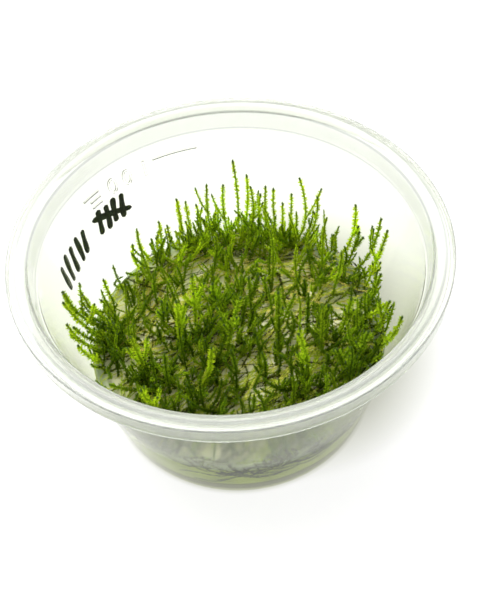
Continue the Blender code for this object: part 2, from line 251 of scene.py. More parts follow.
# Leaves: size along a strand, shading value of each corner, widest place and curl as shares of the length,
# and angle to the stem, for leaves in rings and for others. Leaves lie closer within a length of the tip
LEAF_SIZES = ((0.0, 0.12, 0.75, 1.0), (0.75, 1.0, 1.0, 0.85))
LEAF_VALUES = (0.35, 0.85, 0.85, 1.0)
LEAF_WIDEST = 0.38
LEAF_CURL = 0.12
LEAF_TRIANGLES = np.array([(0, 1, 2), (1, 3, 2)])
RING_ANGLE = 1.0
LEAF_ANGLE = 0.75
TIP_LENGTH = 1.2 * MM

# Colours of the moss: sizes of its flecks and drifts, and hue and brightness of the darkest and lightest tone.
# A tone is partly random and partly painted light: lighter and yellower at the back, as if lit from behind
FLECK_SIZE = 0.7 * MM
DRIFT_SIZE = 6.0 * MM
TONE_HUES = (0.520, 0.476)
TONE_VALUES = (0.4, 1.5)

# Shoots: rings of a tall CAD shoot, steps along a shoot, gaps to the wall and side shoots
SHOOT_RINGS = 6
SHOOT_STEP = 0.35 * MM
YOUNG_STEP = 0.4 * MM
SHOOT_GAP = 0.9
BRANCH_GAP = 0.8
BRANCH_REACH = 0.85
SIDE_SHOOT_SHARE = 0.65

# Least, usual and greatest height of a young shoot, and how far above the gel it starts
YOUNG_HEIGHTS = (3.0, 5.0, 10.0)
FOOT_LIFT = 0.4

# Rows of tall shoots. Each: name, darkest and lightest tone, age of the lowest leaves, size of the leaves,
# greatest number of side shoots. The back rows' high tones are painted light and the middle's low tones
# painted shade; the age darkens the lowest leaves, partly as real age and partly as painted shade
SHOOT_ROWS = (
    ("left", 0.45, 0.85, 0.4, 1.15, 2),
    ("back_left", 0.75, 1.0, 0.15, 1.08, 1),
    ("back", 0.75, 1.0, 0.15, 1.08, 1),
    ("right", 0.5, 0.9, 0.3, 1.15, 2),
    ("middle", 0.2, 0.8, 0.5, 1.25, 4),
)

# Parts of the bed, from left to right. Each: name and the x where it ends
BED_ZONES = (("left", -10.0), ("centre", 0.0), ("inner_right", 10.0), ("right", 40.0))

# Camera and image
CAMERA_PLACE = (0.0011555, -0.10428, 0.1549)
CAMERA_PITCH = 50.9406
CAMERA_ROLL = -4.5273
CAMERA_LENS = 50.33
CAMERA_SENSOR = 36.0

# The main light: direction towards it, its distance and its size
KEY_DIRECTION = (-0.227, 0.567, 0.794)
KEY_DISTANCE = 0.53
KEY_SIZE = (0.50, 0.35)
SPOT_EDGE = (0.82, 0.99)
HORIZON_COLOUR = (0.16, 0.17, 0.16)

# Floor: half its width, its level, and the ranges over which its glow changes. The glow holds a painted
# contact shadow under the cup, painted shade to the cup's right and behind it, and painted light that
# raises it further behind the cup
FLOOR_HALF = 3.0
FLOOR_LEVEL = -0.05 * MM
UNDER_CUP_SHADOW = (25.5 * MM, 28.5 * MM)
BESIDE_CUP_SHADE = (26.0 * MM, 40.0 * MM)
BEHIND_CUP_LIGHT = (0.0, 65.0 * MM)
FAR_AWAY = (220.0 * MM, 400.0 * MM)
SHADE_CENTRE = (9.0 * MM, 13.0 * MM, 0.0)


class CupSettings(bpy.types.PropertyGroup):
    """Sizes and colours of the cup and of the pen strokes on it"""

    turn_steps: IntProperty(
        name="Turn Steps", description="Number of faces around the cup", default=192, min=32
    )
    colour: FloatVectorProperty(
        name="Plastic", description="Colour of the plastic", subtype="COLOR", default=(0.93, 0.95, 0.86)
    )
    clearness: FloatProperty(
        name="Clearness", description="Share of light that passes",
        subtype="FACTOR", default=0.985, max=1.0
    )
    openness: FloatProperty(
        name="Openness", description="Share of light that goes straight on",
        subtype="FACTOR", default=0.1, max=1.0
    )
    wall_bending: FloatProperty(
        name="Wall Bending", description="Refraction of the thin wall", default=1.15, min=1.0, max=2.0
    )
    rim_bending: FloatProperty(
        name="Rim Bending", description="Refraction of the rim and of the marks",
        default=1.49, min=1.0, max=2.0
    )
    rim_colour: FloatVectorProperty(
        name="Rim", description="Colour of the thick plastic in the rim",
        subtype="COLOR", default=(0.95, 0.965, 0.91)
    )
    rim_clearness: FloatProperty(
        name="Rim Clearness", description="Share of light that passes the rim",
        subtype="FACTOR", default=0.8, max=1.0
    )
    mist: FloatProperty(
        name="Mist", description="Roughness that damp leaves on the near wall's inside",
        default=0.15, min=0.0
    )
    mist_colour: FloatVectorProperty(
        name="Mist Colour", description="Colour of the damp near wall",
        subtype="COLOR", default=(0.93, 0.96, 0.76)
    )
    # Edges: painted shade, the grey of the thin lines along the rim's edges
    edge_shade_colour: FloatVectorProperty(
        name="Edges", description="Colour of the rim's edges",
        subtype="COLOR", default=(0.54, 0.56, 0.54)
    )
    # Mark Edges: near black, painted shade for the dark outlines that the clear marks' flanks show
    flank_shade_colour: FloatVectorProperty(
        name="Mark Edges", description="Colour of the moulded marks' flanks",
        subtype="COLOR", default=(0.04, 0.04, 0.04)
    )
    ink: FloatVectorProperty(
        name="Ink", description="Colour of the pen strokes",
        subtype="COLOR", default=(0.003, 0.005, 0.010)
    )
    ink_width: FloatProperty(
        name="Stroke Width", description="Width of the pen strokes", unit="LENGTH", default=1.4 * MM
    )


class GelSettings(bpy.types.PropertyGroup):
    """Colours of the nutrient gel"""

    # Top: pale cream, partly the gel's own colour and partly painted light
    top: FloatVectorProperty(
        name="Top", description="Colour of the gel's fresh top",
        subtype="COLOR", default=(1.0, 0.97, 0.66)
    )
    # Edge: painted shade on the gel's top beside the wall
    edge: FloatVectorProperty(
        name="Edge", description="Colour of the gel's top beside the wall",
        subtype="COLOR", default=(0.52, 0.60, 0.42)
    )
    depth: FloatVectorProperty(
        name="Depth", description="Colour of the gel lower down",
        subtype="COLOR", default=(0.50, 0.59, 0.12)
    )
    clearness: FloatProperty(
        name="Clearness", description="Share of light that passes",
        subtype="FACTOR", default=0.15, max=1.0
    )


class MossSettings(bpy.types.PropertyGroup):
    """Numbers, sizes and colours of the moss"""

    leaves_per_mm: FloatProperty(
        name="Leaves per mm", description="Leaves along each millimetre of a shoot",
        default=16.0, min=0.5
    )
    reach: FloatProperty(
        name="Leaf Reach", description="How far leaves stand out from a stem", unit="LENGTH",
        default=0.60 * MM
    )
    bud: FloatProperty(
        name="Bud", description="Length of a shoot's bud", unit="LENGTH", default=0.6 * MM
    )
    leaf_width: FloatProperty(
        name="Leaf Width", description="Width of a leaf as a share of its length",
        subtype="FACTOR", default=0.50
    )
    young_shoots: IntProperty(
        name="Young Shoots", description="Number of small shoots between the tall ones",
        default=760, min=0
    )
    old_strands: IntProperty(
        name="Old Strands", description="Number of old strands that lie on the gel", default=520, min=0
    )
    litter: IntProperty(
        name="Litter", description="Number of short dark pieces among the strands", default=45, min=0
    )
    sunken: IntProperty(
        name="Sunken Strands", description="Number of strands between the gel and the near wall",
        default=90, min=0
    )
    stem: FloatVectorProperty(
        name="Stem", description="Colour of a fresh stem",
        subtype="COLOR", default=(0.090, 0.200, 0.008)
    )
    leaf: FloatVectorProperty(
        name="Leaf", description="Colour of a fresh leaf's edge",
        subtype="COLOR", default=(0.57, 0.80, 0.03)
    )
    tip: FloatVectorProperty(
        name="Tip", description="Colour of a shoot's bud",
        subtype="COLOR", default=(0.150, 0.240, 0.065)
    )
    # Aged: darkens a shoot's lowest leaves, partly their real age and partly painted shade deep in the moss
    aged: FloatVectorProperty(
        name="Aged", description="Colour of a shoot's oldest leaves",
        subtype="COLOR", default=(0.080, 0.120, 0.004)
    )
    straw: FloatVectorProperty(
        name="Straw", description="Colour of the palest old strands",
        subtype="COLOR", default=(0.80, 0.78, 0.18)
    )
    bark: FloatVectorProperty(
        name="Bark", description="Colour of the darkest old strands",
        subtype="COLOR", default=(0.120, 0.110, 0.022)
    )


class StageSettings(bpy.types.PropertyGroup):
    """Floor and light of the studio"""

    floor: FloatVectorProperty(
        name="Floor", description="Colour of the floor", subtype="COLOR", default=(0.20, 0.20, 0.20)
    )
    # Shade: tint of the painted shade in the floor's glow beside the cup
    shade: FloatVectorProperty(
        name="Shade", description="Colour of the floor's glow beside the cup",
        subtype="COLOR", default=(0.97, 1.0, 0.74)
    )
    glow: FloatProperty(
        name="Floor Glow", description="Light that the near floor gives off", default=0.87, min=0.0
    )
    far_glow: FloatProperty(
        # Far Floor Glow: painted light, a brighter glow behind the cup
        name="Far Floor Glow", description="Light that the floor behind the cup gives off",
        default=1.0, min=0.0
    )
    # Glow Under Cup: a painted contact shadow
    under_cup_shadow_glow: FloatProperty(
        name="Glow Under Cup", description="Share of the glow left under the cup",
        subtype="FACTOR", default=0.1, max=1.0
    )
    # Glow Beside Cup: painted shade
    beside_cup_shade_glow: FloatProperty(
        name="Glow Beside Cup", description="Share of the glow left beside the cup",
        subtype="FACTOR", default=0.42, max=1.0
    )
    rim_glow: FloatProperty(
        name="Glow Far Away", description="Share of the glow left far from the cup",
        subtype="FACTOR", default=0.1, max=1.0
    )
    sky: FloatProperty(name="Sky", description="Strength of the light from above", default=0.8, min=0.0)
    spot: FloatProperty(
        name="Bright Spot", description="How many times brighter the sky's bright spot is",
        default=4.0, min=1.0
    )
    key: FloatProperty(
        name="Key Light", description="Power of the main light", unit="POWER", default=2.4
    )


class MossCupSettings(bpy.types.PropertyGroup):
    """All settings of the moss cup"""

    cup: PointerProperty(type=CupSettings)
    gel: PointerProperty(type=GelSettings)
    moss: PointerProperty(type=MossSettings)
    stage: PointerProperty(type=StageSettings)


def wall_radius(wall, height):
    """Radius in millimetres of a straight wall, given by its two ends, at a height in millimetres."""
    (low_radius, low), (high_radius, high) = wall
    return low_radius + (height - low) * (high_radius - low_radius) / (high - low)


def on_wall(azimuth, height, lift=0.0):
    """A point on the cup's outside wall, moved out from it by lift."""
    angle = math.radians(azimuth)
    radius = wall_radius(OUTSIDE_WALL, height) * MM + lift
    return Vector((radius * math.cos(angle), radius * math.sin(angle), height * MM))


def around(angles, radii, heights):
    """Points about the cup's axis. The radii and the heights are one for each angle, or one for all."""
    angles, radii, heights = np.broadcast_arrays(angles, radii, heights)
    return np.stack((radii * np.cos(angles), radii * np.sin(angles), heights), axis=1)


def wall_axes(azimuth):
    """Directions along the outside wall, up it and out of it."""
    angle = math.radians(azimuth)
    (low_radius, low), (high_radius, high) = OUTSIDE_WALL
    lean = math.atan2(high_radius - low_radius, high - low)
    along = Vector((-math.sin(angle), math.cos(angle), 0.0))
    outward = Vector((math.cos(angle), math.sin(angle), 0.0))
    up_wall = outward * math.sin(lean) + Vector((0.0, 0.0, math.cos(lean)))
    return along, up_wall, along.cross(up_wall)


def rounded_section(corners, steps):
    """Section points with every corner rounded, from the axis at the first height to the axis at the last."""
    places = [Vector((0.0, corners[0][1]))]
    places += [Vector(corner[:2]) for corner in corners]
    places.append(Vector((0.0, corners[-1][1])))
    points = [places[0]]
    for before, corner, after, (_, _, rounding) in zip(places, places[1:], places[2:], corners):
        back, onward = before - corner, after - corner
        start = corner + back.normalized() * min(rounding, 0.45 * back.length)
        end = corner + onward.normalized() * min(rounding, 0.45 * onward.length)
        for i in range(steps + 1):
            t = i / steps
            points.append(start * (1 - t) ** 2 + corner * 2 * t * (1 - t) + end * t * t)
    points.append(places[-1])
    return [(point.x * MM, 0.0, point.y * MM) for point in points]


def add_object(name, data):
    obj = bpy.data.objects.new(name, data)
    bpy.context.scene.collection.objects.link(obj)
    return obj


def turned(name, section, steps):
    """An object turned about Z from its section."""
    mesh = bpy.data.meshes.new(name)
    mesh.from_pydata(section, [(i, i + 1) for i in range(len(section) - 1)], [])
    obj = add_object(name, mesh)
    screw = obj.modifiers.new("Turn", "SCREW")
    screw.steps = steps
    screw.render_steps = steps
    screw.use_merge_vertices = True
    screw.merge_threshold = 0.005 * MM
    screw.use_smooth_shade = True
    return obj


def settle_modifiers(obj):
    """Turns an object with modifiers into one plain mesh."""
    bpy.context.view_layer.update()
    evaluated = obj.evaluated_get(bpy.context.evaluated_depsgraph_get())
    mesh = bpy.data.meshes.new_from_object(evaluated)
    name = obj.name
    bpy.data.objects.remove(obj)
    mesh.name = name
    return add_object(name, mesh)


def moulded_digit(text, azimuth, collection):
    curve = bpy.data.curves.new("digit", "FONT")
    curve.body = text
    curve.size = NUMBER_SIZE
    curve.align_x = "CENTER"
    curve.align_y = "CENTER"
    curve.resolution_u = 6
    curve.offset = -MARK_ROUNDING
    curve.bevel_depth = MARK_ROUNDING
    curve.bevel_resolution = 2
    curve.extrude = (MARK_HEIGHT + MARK_SINK) / 2 - MARK_ROUNDING
    obj = bpy.data.objects.new("digit", curve)
    matrix = Matrix(wall_axes(azimuth)).transposed().to_4x4()
    matrix.translation = on_wall(azimuth, NUMBER_CENTRE)
    obj.matrix_world = matrix @ Matrix.Translation((0.0, 0.0, (MARK_HEIGHT - MARK_SINK) / 2))
    collection.objects.link(obj)
    return obj


def moulded_line(first, last, height, collection):
    curve = bpy.data.curves.new("line", "CURVE")
    curve.dimensions = "3D"
    curve.bevel_depth = LINE_RADIUS
    curve.bevel_resolution = 3
    curve.use_fill_caps = True
    count = max(4, round(last - first) + 1)
    spline = curve.splines.new("POLY")
    spline.points.add(count - 1)
    for i, point in enumerate(spline.points):
        azimuth = first + (last - first) * i / (count - 1)
        point.co = (*on_wall(azimuth, height), 1.0)
    obj = bpy.data.objects.new("line", curve)
    collection.objects.link(obj)
    return obj


def moulded_marks():
    """A collection of closed meshes for the number and the lines."""
    collection = bpy.data.collections.new("moulded_marks")
    bpy.context.scene.collection.children.link(collection)
    curves = [moulded_digit(text, azimuth, collection) for text, azimuth in zip(NUMBER, NUMBER_AZIMUTHS)]
    curves += [moulded_line(first, last, height, collection) for first, last, height in MARK_LINES]
    bpy.context.view_layer.update()
    graph = bpy.context.evaluated_depsgraph_get()
    for curve in curves:
        mesh = bpy.data.meshes.new_from_object(curve.evaluated_get(graph))
        mark = bpy.data.objects.new("mark", mesh)
        mark.matrix_world = curve.matrix_world
        collection.objects.link(mark)
        weld = mark.modifiers.new("Weld", "WELD")
        weld.merge_threshold = 0.002 * MM
        bpy.data.objects.remove(curve)
    return collection


def remove_collection(collection):
    for obj in list(collection.objects):
        bpy.data.objects.remove(obj)
    bpy.data.collections.remove(collection)


class Nodes:
    """Adds and joins the nodes of one shader tree."""

    def __init__(self, tree):
        self.tree = tree

    def add(self, kind, settings=None, **inputs):
        """A node with its settings, and with its inputs set to values or joined to sockets.

        In an input's name, an underscore stands for a space, and i0 is the first input.
        """
        node = self.tree.nodes.new(kind)
        for key, value in (settings or {}).items():
            setattr(node, key, value)
        for key, value in inputs.items():
            self.feed(node, key.replace("_", " "), value)
        return node

    def feed(self, node, key, value):
        """Sets one input of a node to a value, or joins it to a socket."""
        numbered = key[0] == "i" and key[1:].isdigit()
        socket = node.inputs[int(key[1:])] if numbered else node.inputs[key]
        if isinstance(value, bpy.types.NodeSocket):
            self.tree.links.new(value, socket)
        elif socket.type == "RGBA":
            socket.default_value = (*value[:3], 1.0)
        else:
            socket.default_value = value

    def combine(self, operation, first, second):
        """Two numbers combined by an operation of the Math node."""
        return self.add("ShaderNodeMath", {"operation": operation}, i0=first, i1=second).outputs[0]

    def times(self, first, second):
        return self.combine("MULTIPLY", first, second)

    def measure(self, operation, **vectors):
        """The length of a vector, or the distance or dot product of two."""
        return self.add("ShaderNodeVectorMath", {"operation": operation}, **vectors).outputs["Value"]

    def blend(self, share, first, second):
        """Two colours mixed by a share."""
        node = self.add("ShaderNodeMix", {"data_type": "RGBA"}, i0=share, i6=first, i7=second)
        return node.outputs[2]

    def span(self, value, low, high, to_low=0.0, to_high=1.0):
        """A value moved from one range to another and kept inside it."""
        ends = {"From_Min": low, "From_Max": high, "To_Min": to_low, "To_Max": to_high}
        return self.add("ShaderNodeMapRange", Value=value, **ends).outputs[0]

    def spread(self, grain, to_low=0.0, to_high=1.0):
        """Grain moved from the range that most of it lies in to another."""
        return self.span(grain, 0.3, 0.7, to_low, to_high)

    def place(self):
        """The place on the object."""
        return self.add("ShaderNodeTexCoord").outputs["Object"]

    def axes(self, vector):
        """A vector's X, Y and Z."""
        return self.add("ShaderNodeSeparateXYZ", Vector=vector).outputs

    def grain(self, size, detail=2.0):
        """Noise over the object, with lumps of a size in metres."""
        noise_node = self.add("ShaderNodeTexNoise", Vector=self.place(), Scale=1.0 / size, Detail=detail)
        return noise_node.outputs["Fac"]

    def held(self, name):
        """A number that the mesh holds at each point."""
        return self.add("ShaderNodeAttribute", {"attribute_name": name}).outputs["Fac"]


def new_group(name, inputs, outputs):
    """A shader group, its nodes, its inputs by name and its output node."""
    tree = bpy.data.node_groups.new(name, "ShaderNodeTree")
    for key, (kind, default) in inputs.items():
        socket = tree.interface.new_socket(key, in_out="INPUT", socket_type=kind)
        socket.default_value = default
    for key, kind in outputs.items():
        tree.interface.new_socket(key, in_out="OUTPUT", socket_type=kind)
    nodes = Nodes(tree)
    entry = nodes.add("NodeGroupInput").outputs
    return tree, nodes, entry, nodes.add("NodeGroupOutput")


def haze_group():
    """Roughness and height of a moulded or set surface: soft waves with a finer haze on them."""
    name = "surface haze"
    if name in bpy.data.node_groups:
        return bpy.data.node_groups[name]
    inputs = {key: ("NodeSocketFloat", 0.5) for key in ("Smoothest", "Roughest", "Wave Share")}
    outputs = {"Roughness": "NodeSocketFloat", "Height": "NodeSocketFloat"}
    tree, nodes, entry, end = new_group(name, inputs, outputs)
    wave = nodes.grain(WAVE_SIZE, 1.0)
    haze = nodes.grain(HAZE_SIZE, 4.0)
    patch = nodes.times(nodes.span(wave, 0.35, 0.65), nodes.spread(haze))
    nodes.feed(end, "Roughness", nodes.span(patch, 0.0, 1.0, entry["Smoothest"], entry["Roughest"]))
    fine = nodes.times(haze, nodes.combine("SUBTRACT", 1.0, entry["Wave Share"]))
    nodes.feed(end, "Height", nodes.combine("ADD", nodes.times(wave, entry["Wave Share"]), fine))
    return tree


def moss_group():
    """Colour and height of moss, from the tone, bud, age and leaf values that the mesh holds.

    The tone's brightness and hue are partly painted light, and the age's darkening partly painted shade.
    """
    name = "moss tint"
    if name in bpy.data.node_groups:
        return bpy.data.node_groups[name]
    inputs = {key: ("NodeSocketColor", (0.1, 0.2, 0.01, 1.0)) for key in ("Stem", "Leaf", "Aged", "Tip")}
    outputs = {"Colour": "NodeSocketColor", "Height": "NodeSocketFloat"}
    tree, nodes, entry, end = new_group(name, inputs, outputs)
    fleck = nodes.grain(FLECK_SIZE, 3.0)
    drift = nodes.spread(nodes.grain(DRIFT_SIZE, 1.0), 0.85, 1.15)
    edge = nodes.combine("ADD", nodes.held("moss_leaf"), nodes.combine("SUBTRACT", fleck, 0.5))
    colour = nodes.blend(nodes.span(edge, 0.05, 0.95), entry["Stem"], entry["Leaf"])
    # Lowest leaves darker: partly real age, partly painted shade deep in the moss
    aged = nodes.times(nodes.held("moss_age"), nodes.span(fleck, 0.25, 0.75, 0.4, 1.0))
    colour = nodes.blend(aged, colour, entry["Aged"])
    tone = nodes.held("moss_tone")
    # Brightness and hue by tone: partly random, partly painted light on shoots at the back
    hue = nodes.span(tone, 0.0, 1.0, *TONE_HUES)
    bright = nodes.times(nodes.span(tone, 0.0, 1.0, *TONE_VALUES), drift)
    shifted = nodes.add("ShaderNodeHueSaturation", Hue=hue, Value=bright, Color=colour).outputs[0]
    nodes.feed(end, "Colour", nodes.blend(nodes.held("moss_tip"), shifted, entry["Tip"]))
    nodes.feed(end, "Height", fleck)
    return tree


def new_material(name):
    """An empty material and its nodes, with the output node."""
    material = bpy.data.materials.new(name)
    material.use_nodes = True
    material.node_tree.nodes.clear()
    nodes = Nodes(material.node_tree)
    return material, nodes, nodes.add("ShaderNodeOutputMaterial")


def bump(nodes, height, depth):
    return nodes.add("ShaderNodeBump", Height=height, Distance=depth, Strength=1.0).outputs[0]


def clear_shader(nodes, end, body, tint, passing):
    """Joins a clear body to the output.

    Light goes straight on, with a tint, where passing is 1, and where it comes from a lamp.
    """
    straight = nodes.add("ShaderNodeBsdfTransparent", Color=tint)
    shadow = nodes.add("ShaderNodeLightPath").outputs["Is Shadow Ray"]
    share = nodes.combine("MAXIMUM", shadow, passing)
    mix = nodes.add("ShaderNodeMixShader", i0=share, i1=body.outputs[0], i2=straight.outputs[0])
    nodes.feed(end, "Surface", mix.outputs[0])


def hazy_body(nodes, colour, clearness, refraction, haze_range, wave_share, depth):
    """A clear, slightly milky body. Both ends of the haze range are numbers or sockets."""
    smoothest, roughest = haze_range
    group = {"node_tree": haze_group()}
    ends = {"Smoothest": smoothest, "Roughest": roughest}
    haze = nodes.add("ShaderNodeGroup", group, **ends, Wave_Share=wave_share)
    return nodes.add(
        "ShaderNodeBsdfPrincipled",
        Base_Color=colour,
        Roughness=haze.outputs["Roughness"],
        IOR=refraction,
        Transmission_Weight=clearness,
        Normal=bump(nodes, haze.outputs["Height"], depth),
    )


def plastic_body(nodes, colour, clearness, refraction, haze_range):
    return hazy_body(nodes, colour, clearness, refraction, haze_range, PLASTIC_WAVE_SHARE, PLASTIC_BUMP)


def around_axis(nodes):
    """Distance from the cup's axis, and the place along each axis."""
    axes = nodes.axes(nodes.place())
    flat = nodes.add("ShaderNodeCombineXYZ", X=axes["X"], Y=axes["Y"])
    return nodes.measure("LENGTH", i0=flat.outputs[0]), axes


def painted_edge_mask(nodes, radius, height):
    """1 along the edges of the rim, where thin grey lines of painted shade stand for the edges' dark lines."""
    rim = 0.0
    place = nodes.add("ShaderNodeCombineXYZ", X=radius, Y=height).outputs[0]
    for edge_radius, edge_height in SHADED_EDGE_CIRCLES:
        gap = nodes.measure("DISTANCE", i0=place, i1=(edge_radius * MM, edge_height * MM, 0.0))
        rim = nodes.combine("MAXIMUM", rim, nodes.span(gap, EDGE_REACH, 2.0 * EDGE_REACH, 1.0, 0.0))
    return rim


def inside_mask(nodes, radius, height):
    """1 on the faces that look into the cup, 0 on those that look out of it."""
    low, high = (wall_radius(INSIDE_WALL, z) / 2 + wall_radius(OUTSIDE_WALL, z) / 2 for z in (0.0, 1.0))
    inward = nodes.combine("SUBTRACT", nodes.times(height, high - low), radius)
    return nodes.combine("GREATER_THAN", inward, -low * MM)


def wall_material(look):
    """Clear plastic, misty inside near the moss, and without gloss where the gel wets it."""
    material, nodes, end = new_material("clear_plastic")
    radius, axes = around_axis(nodes)
    height = axes["Z"]
    inside = inside_mask(nodes, radius, height)
    misty = nodes.times(nodes.span(height, *MIST_TOP), nodes.span(axes["Y"], *MIST_SIDE))
    misty = nodes.times(misty, inside)
    colour = nodes.blend(misty, look.colour, look.mist_colour)
    smoothest = nodes.span(misty, 0.0, 1.0, WALL_HAZE[0], WALL_HAZE[0] + look.mist)
    haze_range = (smoothest, nodes.combine("ADD", smoothest, WALL_HAZE[1] - WALL_HAZE[0]))
    body = plastic_body(nodes, colour, look.clearness, look.wall_bending, haze_range)
    wet = nodes.times(nodes.span(height, *WET_BOTTOM), nodes.span(height, *WET_TOP))
    wet = nodes.times(inside, wet)
    clear_shader(nodes, end, body, WALL_TINT, nodes.combine("MAXIMUM", wet, look.openness))
    return material


def rim_material(look):
    """The thick milky plastic of the rim, with thin grey lines of painted shade along its edges."""
    material, nodes, end = new_material("milky_plastic")
    radius, axes = around_axis(nodes)
    # Painted shade: grey lines along the rim's edges, where less light goes straight on
    edges = painted_edge_mask(nodes, radius, axes["Z"])
    colour = nodes.blend(edges, look.rim_colour, look.edge_shade_colour)
    body = plastic_body(nodes, colour, look.rim_clearness, look.rim_bending, RIM_HAZE)
    clear_shader(nodes, end, body, RIM_TINT, nodes.span(edges, 0.0, 1.0, look.openness, 0.0))
    return material


def flank_material(look):
    """The dark look of the moulded marks' flanks: painted shade for the dark outlines that clear marks show.
    """
    material, nodes, end = new_material("mark_plastic")
    grain = nodes.spread(nodes.grain(HAZE_SIZE))
    # Painted shade on the flanks
    colour = nodes.blend(grain, look.flank_shade_colour, darker(look.flank_shade_colour, 0.8))
    body = plastic_body(nodes, colour, look.clearness, look.rim_bending, WALL_HAZE)
    clear_shader(nodes, end, body, RIM_TINT, 0.0)
    return material


def darker(colour, share):
    return [share * value for value in colour]


def plastic_kinds(mesh):
    """Number of the plastic of each face: 0 in the wall, 1 in the rim and 2 on a moulded mark's flank."""
    centres, normals = np.empty((2, len(mesh.polygons) * 3))
    mesh.polygons.foreach_get("center", centres)
    mesh.polygons.foreach_get("normal", normals)
    x, y, height = centres.reshape(-1, 3).T / MM
    across, along, _ = normals.reshape(-1, 3).T
    radius = np.maximum(np.hypot(x, y), 0.001)
    steep = (across * x + along * y) / radius < FLANK_SLOPE
    flank = steep & (radius - wall_radius(OUTSIDE_WALL, height) > FLANK_LIFT)
    return np.where(height > RIM_START, 1, np.where(flank, 2, 0)).astype(np.int32)


def gel_material(look):
    """Cloudy gel: pale at its top, partly painted light, and at its bottom, with painted shade on its top
    beside the wall, darker and mottled lower down.
    """
    material, nodes, end = new_material("cloudy_gel")
    place = nodes.place()
    height = nodes.axes(place)["Z"]
    cloud = nodes.grain(5.0 * MM, 2.0)
    mottled = nodes.blend(nodes.span(cloud, 0.35, 0.65), look.depth, darker(look.depth, 0.82))
    # Paler at the top, partly painted light, and at the bottom
    pale_top = nodes.span(height, *GEL_PALE_TOP)
    fresh = nodes.combine("MAXIMUM", pale_top, nodes.span(height, *GEL_PALE_BOTTOM))
    # Painted shade on the top beside the wall
    top = nodes.blend(nodes.span(nodes.measure("LENGTH", i0=place), *GEL_SHADE_REACH), look.top, look.edge)
    colour = nodes.blend(fresh, mottled, top)
    body = hazy_body(nodes, colour, look.clearness, GEL_BENDING, GEL_HAZE, 0.5, 0.15 * MM)
    clear_shader(nodes, end, body, GEL_TINT, 0.0)
    return material


def leaf_shader(nodes, end, colours, through, roughness):
    """Joins moss of four colours to a leaf's gloss, and to the light that passes through the leaf."""
    tint = nodes.add("ShaderNodeGroup", {"node_tree": moss_group()}, **colours).outputs
    body = nodes.add(
        "ShaderNodeBsdfPrincipled",
        Base_Color=tint["Colour"],
        Roughness=roughness,
        Specular_IOR_Level=0.05,
        Normal=bump(nodes, tint["Height"], 0.05 * MM),
    )
    passing = nodes.add("ShaderNodeBsdfTranslucent", Color=tint["Colour"])
    mix = nodes.add("ShaderNodeMixShader", i0=through, i1=body.outputs[0], i2=passing.outputs[0])
    nodes.feed(end, "Surface", mix.outputs[0])


def new_moss_material(look):
    if "fresh_moss" in bpy.data.materials:
        return bpy.data.materials["fresh_moss"]
    material, nodes, end = new_material("fresh_moss")
    colours = {"Stem": look.stem, "Leaf": look.leaf, "Aged": look.aged, "Tip": look.tip}
    leaf_shader(nodes, end, colours, 0.5, 0.5)
    return material


def old_moss_material(look):
    """Old strands, each from bark over green to straw by its tone, lowered on the near ones as painted shade.
    """
    if "aged_moss" in bpy.data.materials:
        return bpy.data.materials["aged_moss"]
    material, nodes, end = new_material("aged_moss")
    ramp = nodes.add("ShaderNodeValToRGB", Fac=nodes.held("moss_tone"))
    ramp.color_ramp.elements[0].color = (*look.bark, 1.0)
    ramp.color_ramp.elements[1].color = (*look.straw, 1.0)
    for place, colour in ((0.22, look.aged), (0.55, look.leaf)):
        ramp.color_ramp.elements.new(place).color = (*colour, 1.0)
    leaf = ramp.outputs["Color"]
    stem = nodes.blend(0.6, leaf, look.bark)
    leaf_shader(nodes, end, {"Stem": stem, "Leaf": leaf, "Aged": leaf, "Tip": leaf}, 0.35, 0.45)
    return material


def ink_material(colour):
    material, nodes, end = new_material("pen_ink")
    grain = nodes.grain(0.25 * MM, 3.0)
    thin = nodes.span(nodes.grain(1.6 * MM, 1.0), 0.55, 0.8, 0.0, 0.5)
    body = nodes.add(
        "ShaderNodeBsdfPrincipled",
        Base_Color=nodes.blend(thin, colour, THIN_INK),
        Roughness=nodes.spread(grain, 0.3, 0.5),
        Normal=bump(nodes, grain, 0.01 * MM),
    )
    nodes.feed(end, "Surface", body.outputs[0])
    return material


class Sheaf:
    """Gathers the points and triangles of many small forms into one mesh."""

    def __init__(self):
        self.points = []
        self.triangles = []
        self.values = []
        self.count = 0

    def add(self, points, triangles, values):
        """Adds points, triangles of their numbers, and four values for each point: tone, tip, age, leaf."""
        self.points.append(points)
        self.triangles.append(triangles + self.count)
        self.values.append(values)
        self.count += len(points)

    def build(self, name, material):
        points = np.concatenate(self.points)
        triangles = np.concatenate(self.triangles)
        mesh = mesh_of(name, points, triangles, material)
        values = np.concatenate(self.values).astype(np.float32)
        for column, key in enumerate(("moss_tone", "moss_tip", "moss_age", "moss_leaf")):
            held = mesh.attributes.new(key, "FLOAT", "POINT")
            held.data.foreach_set("value", np.ascontiguousarray(values[:, column]))
        return add_object(name, mesh)


def mesh_of(name, points, triangles, material):
    """A smooth mesh of triangles."""
    mesh = bpy.data.meshes.new(name)
    mesh.vertices.add(len(points))
    mesh.vertices.foreach_set("co", points.astype(np.float32).ravel())
    mesh.loops.add(triangles.size)
    mesh.loops.foreach_set("vertex_index", triangles.astype(np.int32).ravel())
    mesh.polygons.add(len(triangles))
    mesh.polygons.foreach_set("loop_start", np.arange(0, triangles.size, 3, dtype=np.int32))
    mesh.update(calc_edges=True)
    mesh.validate()
    mesh.shade_smooth()
    mesh.materials.append(material)
    return mesh


def unit(vectors):
    return vectors / np.maximum(np.linalg.norm(vectors, axis=-1, keepdims=True), 1e-12)


def distances(line):
    """Distance of each point of a line from its first point, along the line."""
    return np.concatenate(([0.0], np.cumsum(np.linalg.norm(np.diff(line, axis=0), axis=1))))


